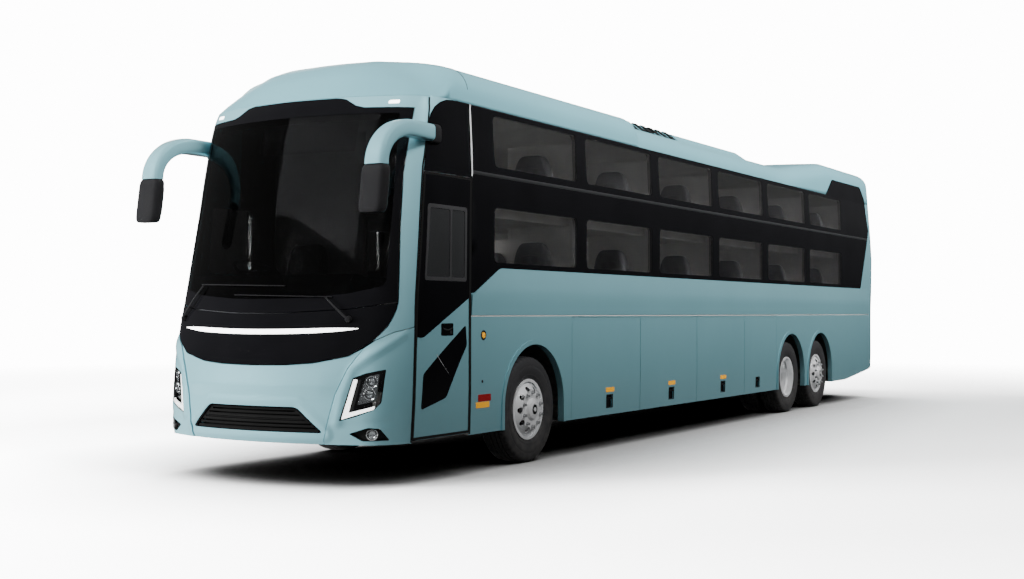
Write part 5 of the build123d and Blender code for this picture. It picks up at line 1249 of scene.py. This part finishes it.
class COACH_OT_wheels(bpy.types.Operator):
    """Tyres with grooves, lugs and wall rings, wheel nuts, black discs of painted shade in the hand holes,
    and hub caps
    """
    bl_idname = "coach.wheels"
    bl_label = "Wheels"

    def execute(self, context):
        depth = context.scene.coach_sizes.tread / MM
        dished = [(-6, 0), (-6, 62), (4, 66), (10, 60), (12, 0)]
        proud = [(30, 0), (30, 63), (37, 60), (40, 50), (40, 22), (46, 20), (47, 0)]
        for name, y in (("front", FA), ("drive", DRIVE), ("tag", TAG)):
            for side, hand in ((1, "left"), (-1, "right")):
                label, axis, drive = "%s_%s" % (name, hand), (side, 0, 0), name == "drive"
                body = "wheel_" + label
                rubber = [tyre(side * x, y, depth) for x in ([TYRE_X, TYRE_X - TWIN] if drive else [TYRE_X])]
                piece("tyre_skin_" + label, joined(*rubber), "tyre", body=body, replaces=["tyre_" + label],
                      crease=30)
                face = TYRE_X - WHEEL_FACE + 10 if drive else TYRE_X + WHEEL_FACE
                piece("wheel_nuts_" + label, nuts(side * face, y, side), "nut", body=body, crease=30)
                if not drive:
                    # painted shade: black discs 50 inside the wheel face plug the hand holes so they read
                    # dark
                    painted_shade_discs = [turned([(0, 0), (0, 34), (4, 34), (4, 0)],
                                    around(side * (face - 50), y, HOLE_CIRCLE, angle), axis, 20)
                             for angle in np.radians(18 + 36 * np.arange(NUTS))]
                    piece("hand_hole_painted_shades_" + label, joined(*painted_shade_discs), "void", "chassis_steel", body=body)
                centre = (side * (TYRE_X - 2 if drive else face - 6), y, TYRE_R)
                cap = turned(dished if drive else proud, centre, axis, 40)
                piece("hub_cap_" + label, cap, "alloy", "polished_alloy", body=body)
        return {"FINISHED"}


class COACH_OT_cabin(bpy.types.Operator):
    """Driver's seat, mattresses and backrests as crowned padded pieces"""
    bl_idname = "coach.cabin"
    bl_label = "Cabin and berths"

    def execute(self, context):
        first = FIRST - (PITCH - LENGTH) / 2
        pads = []
        for x0, x1, sleepers in ((400, 1145, 1), (-1145, -100, 2)):
            for n in range(BAYS):
                low, high = first + n * PITCH + 35, first + (n + 1) * PITCH - 35
                for top in (1720, 2640):
                    half = ((x1 - x0) / 2 - 22, (high - low) / 2, 54)
                    pads.append(lump(half, ((x0 + x1) / 2, (low + high) / 2, top + 55), 0.12, 0.18, 10, 40))
                    for k in range(sleepers):
                        x, foot = x0 + (x1 - x0) * (k + 0.5) / sleepers, top + 114
                        points, faces = lump((248, 78, 192), (x, high - 82, foot + 192), 0.3, 0.35, 16, 32)
                        points[:, 0] = x + (points[:, 0] - x) * (1 - 0.36 * (points[:, 2] - foot) / 384)
                        pads.append((points, faces))
        beds = piece("berth_pads", joined(*pads), "cloth", replaces=["mattresses"], crease=60)
        sx, sy, sz = -690, FA - 1360, 1120
        cushion = lump((236, 250, 62), (sx, sy - 40, sz + 335), 0.35, 0.45, 16, 40)
        back = lump((226, 60, 330), (sx, sy + 235, sz + 700), 0.3, 0.4, 20, 36)
        back[0][:, 1] += (back[0][:, 2] - sz - 370) * 0.13
        seat = piece("driver_seat_pads", joined(cushion, back), "cloth", replaces=["driver_seat"], crease=60)
        stem = [(0, 0), (0, 165), (14, 170), (60, 120), (210, 115), (240, 160), (262, 165), (262, 0)]
        stem = turned(stem, (sx, sy, sz), (0.0001, 0, 1), 32)
        piece("driver_seat_base", stem, "dash", "interior_panel")
        return {"FINISHED"}


def studio_floor(scene):
    """Pale disc with a painted shadow under the coach: its colour is darkened by ambient occlusion. It fades
    out to the white backdrop; the camera sees it at 3.9 times its colour, light bouncing off it sees dark
    grey.
    """
    r, a = np.array([0.0, 4, 8, 12, 16, 20, 26, 34, 44])[:, None], circle(64)
    points = np.stack([r * np.cos(a), r * np.sin(a), 0 * r * a], -1).reshape(-1, 3)
    data = bpy.data.meshes.new("studio_floor")
    data.from_pydata(points.tolist(), [], lattice(9, 64).tolist())
    data.validate()
    floor = bpy.data.objects.new("studio_floor", data)
    scene.collection.objects.link(floor)
    material = bpy.data.materials.new("studio_floor")
    material.use_nodes = True
    tree = material.node_tree
    tree.nodes.remove(tree.nodes["Principled BSDF"])
    place = tree.nodes.new("ShaderNodeTexCoord").outputs["Object"]
    tone = placed(tree, "tone_drift", Vector=place, Colour=(*scene.coach_colours.floor, 1), Amount=0.01,
                  Scale=0.4, Roughness=0.55, Gloss_Drift=0.03)
    # painted shadow: the floor's colour times the cube of its ambient occlusion, darkest under the coach
    painted_shadow = node(tree, "AmbientOcclusion", {"Distance": 2.6}).outputs["AO"]
    bright = scaled(tree, scaled(tree, tone["Colour"], 3.9), maths(tree, "POWER", painted_shadow, 3.0))
    seen = tree.nodes.new("ShaderNodeLightPath").outputs["Is Camera Ray"]
    shown = blended(tree, seen, (0.1, 0.1, 0.1, 1), bright)
    matt = node(tree, "BsdfDiffuse", {"Color": shown}).outputs[0]
    distance = node(tree, "VectorMath", {0: place}, operation="LENGTH").outputs["Value"]
    fade = spread(tree, distance, 9.0, 24.0, 0.0, 1.0)
    ends = node(tree, "MixShader", {0: fade, 1: matt, 2: node(tree, "BsdfTransparent").outputs[0]})
    feed(tree, ends.outputs[0], tree.nodes["Material Output"].inputs["Surface"])
    data.materials.append(material)


def studio_sky(scene):
    """Grey sky for light and reflections, and a white backdrop for the camera."""
    world = bpy.data.worlds.new("studio")
    scene.world = world
    world.use_nodes = True
    tree = world.node_tree
    way = tree.nodes.new("ShaderNodeTexCoord").outputs["Generated"]
    ramp = node(tree, "ValToRGB", {"Fac": node(tree, "SeparateXYZ", {0: way}).outputs["Z"]})
    stops = ramp.color_ramp.elements
    stops[0].position, stops[0].color = 0.0, (0.05, 0.052, 0.055, 1)
    stops[1].position, stops[1].color = 0.45, (0.55, 0.55, 0.55, 1)
    stops.new(0.1).color = (0.22, 0.222, 0.225, 1)
    sky = tree.nodes["Background"]
    feed(tree, ramp.outputs["Color"], sky.inputs["Color"])
    sky.inputs["Strength"].default_value = 0.5
    backdrop = node(tree, "Background", {"Color": (1, 1, 1, 1), "Strength": 14.0})
    seen = tree.nodes.new("ShaderNodeLightPath").outputs["Is Camera Ray"]
    mix = node(tree, "MixShader", {0: seen, 1: sky.outputs[0], 2: backdrop.outputs[0]})
    feed(tree, mix.outputs[0], tree.nodes["World Output"].inputs["Surface"])


def studio_lights(scene):
    """Five area lights, each aimed at a place on the coach."""
    for label, watts, size, place, aim in (
            ("key", 4000, (10, 5), (-4, -17, 10), (0, -4, 1.5)),
            ("front", 15500, (9, 4), (-12, -18, 3.6), (-0.5, -7, 1.0)),
            ("top", 700, (18, 9), (0, 0, 13), (0, 0, 0)),
            ("rim", 500, (10, 6), (-13, 8, 9), (0, 2, 2)),
            ("side", 3200, (18, 3), (10, 0, 9.5), (1.3, 1, 6))):
        light = bpy.data.lights.new(label, "AREA")
        light.shape, light.size, light.size_y, light.energy = "RECTANGLE", *size, watts
        light.spread = math.radians(60 if label == "side" else 180)
        obj = bpy.data.objects.new(label, light)
        obj.location = place
        obj.rotation_euler = (Vector(aim) - Vector(place)).to_track_quat("-Z", "Y").to_euler()
        obj.visible_glossy = label == "rim"
        scene.collection.objects.link(obj)


def studio_camera(scene):
    """The camera, ahead of the coach on its left."""
    camera = bpy.data.cameras.new("camera")
    camera.sensor_width, camera.lens, camera.sensor_fit = 36.0, 46.95, "HORIZONTAL"
    camera.clip_end = 300
    view = bpy.data.objects.new("camera", camera)
    view.location = (7.7394, -16.232, 1.4735)
    view.rotation_euler = (math.radians(90.99), math.radians(-0.045), math.radians(30.362))
    scene.collection.objects.link(view)
    scene.camera = view


class COACH_OT_stage(bpy.types.Operator):
    """Pale floor, soft studio lights, sky and camera"""
    bl_idname = "coach.stage"
    bl_label = "Stage"

    def execute(self, context):
        for part in (studio_floor, studio_sky, studio_lights, studio_camera):
            part(context.scene)
        return {"FINISHED"}


STEPS = (COACH_OT_finishes, COACH_OT_stage, COACH_OT_nose, COACH_OT_screen, COACH_OT_lamps, COACH_OT_wipers,
         COACH_OT_mirrors, COACH_OT_roof, COACH_OT_cooler, COACH_OT_shoulders, COACH_OT_side_glass,
         COACH_OT_door, COACH_OT_side_details, COACH_OT_stern, COACH_OT_wheels, COACH_OT_cabin)


class COACH_PT_panel(bpy.types.Panel):
    """Sidebar list of the coach's settings and steps"""
    bl_label = "Coach"
    bl_idname = "COACH_PT_panel"
    bl_space_type = "VIEW_3D"
    bl_region_type = "UI"
    bl_category = "Coach"

    def draw(self, context):
        column = self.layout.column()
        for group in (context.scene.coach_colours, context.scene.coach_sizes):
            for key in group.__annotations__:
                column.prop(group, key)
        for step in STEPS:
            column.operator(step.bl_idname)


CLASSES = (CoachColours, CoachSizes, *STEPS, COACH_PT_panel)


def register():
    for part in CLASSES:
        bpy.utils.register_class(part)
    bpy.types.Scene.coach_colours = bpy.props.PointerProperty(type=CoachColours)
    bpy.types.Scene.coach_sizes = bpy.props.PointerProperty(type=CoachSizes)


def unregister():
    del bpy.types.Scene.coach_colours, bpy.types.Scene.coach_sizes
    for part in reversed(CLASSES):
        bpy.utils.unregister_class(part)


def main():
    register()
    for step in STEPS:
        family, action = step.bl_idname.split(".")
        getattr(getattr(bpy.ops, family), action)()


if __name__ == "__main__":
    main()
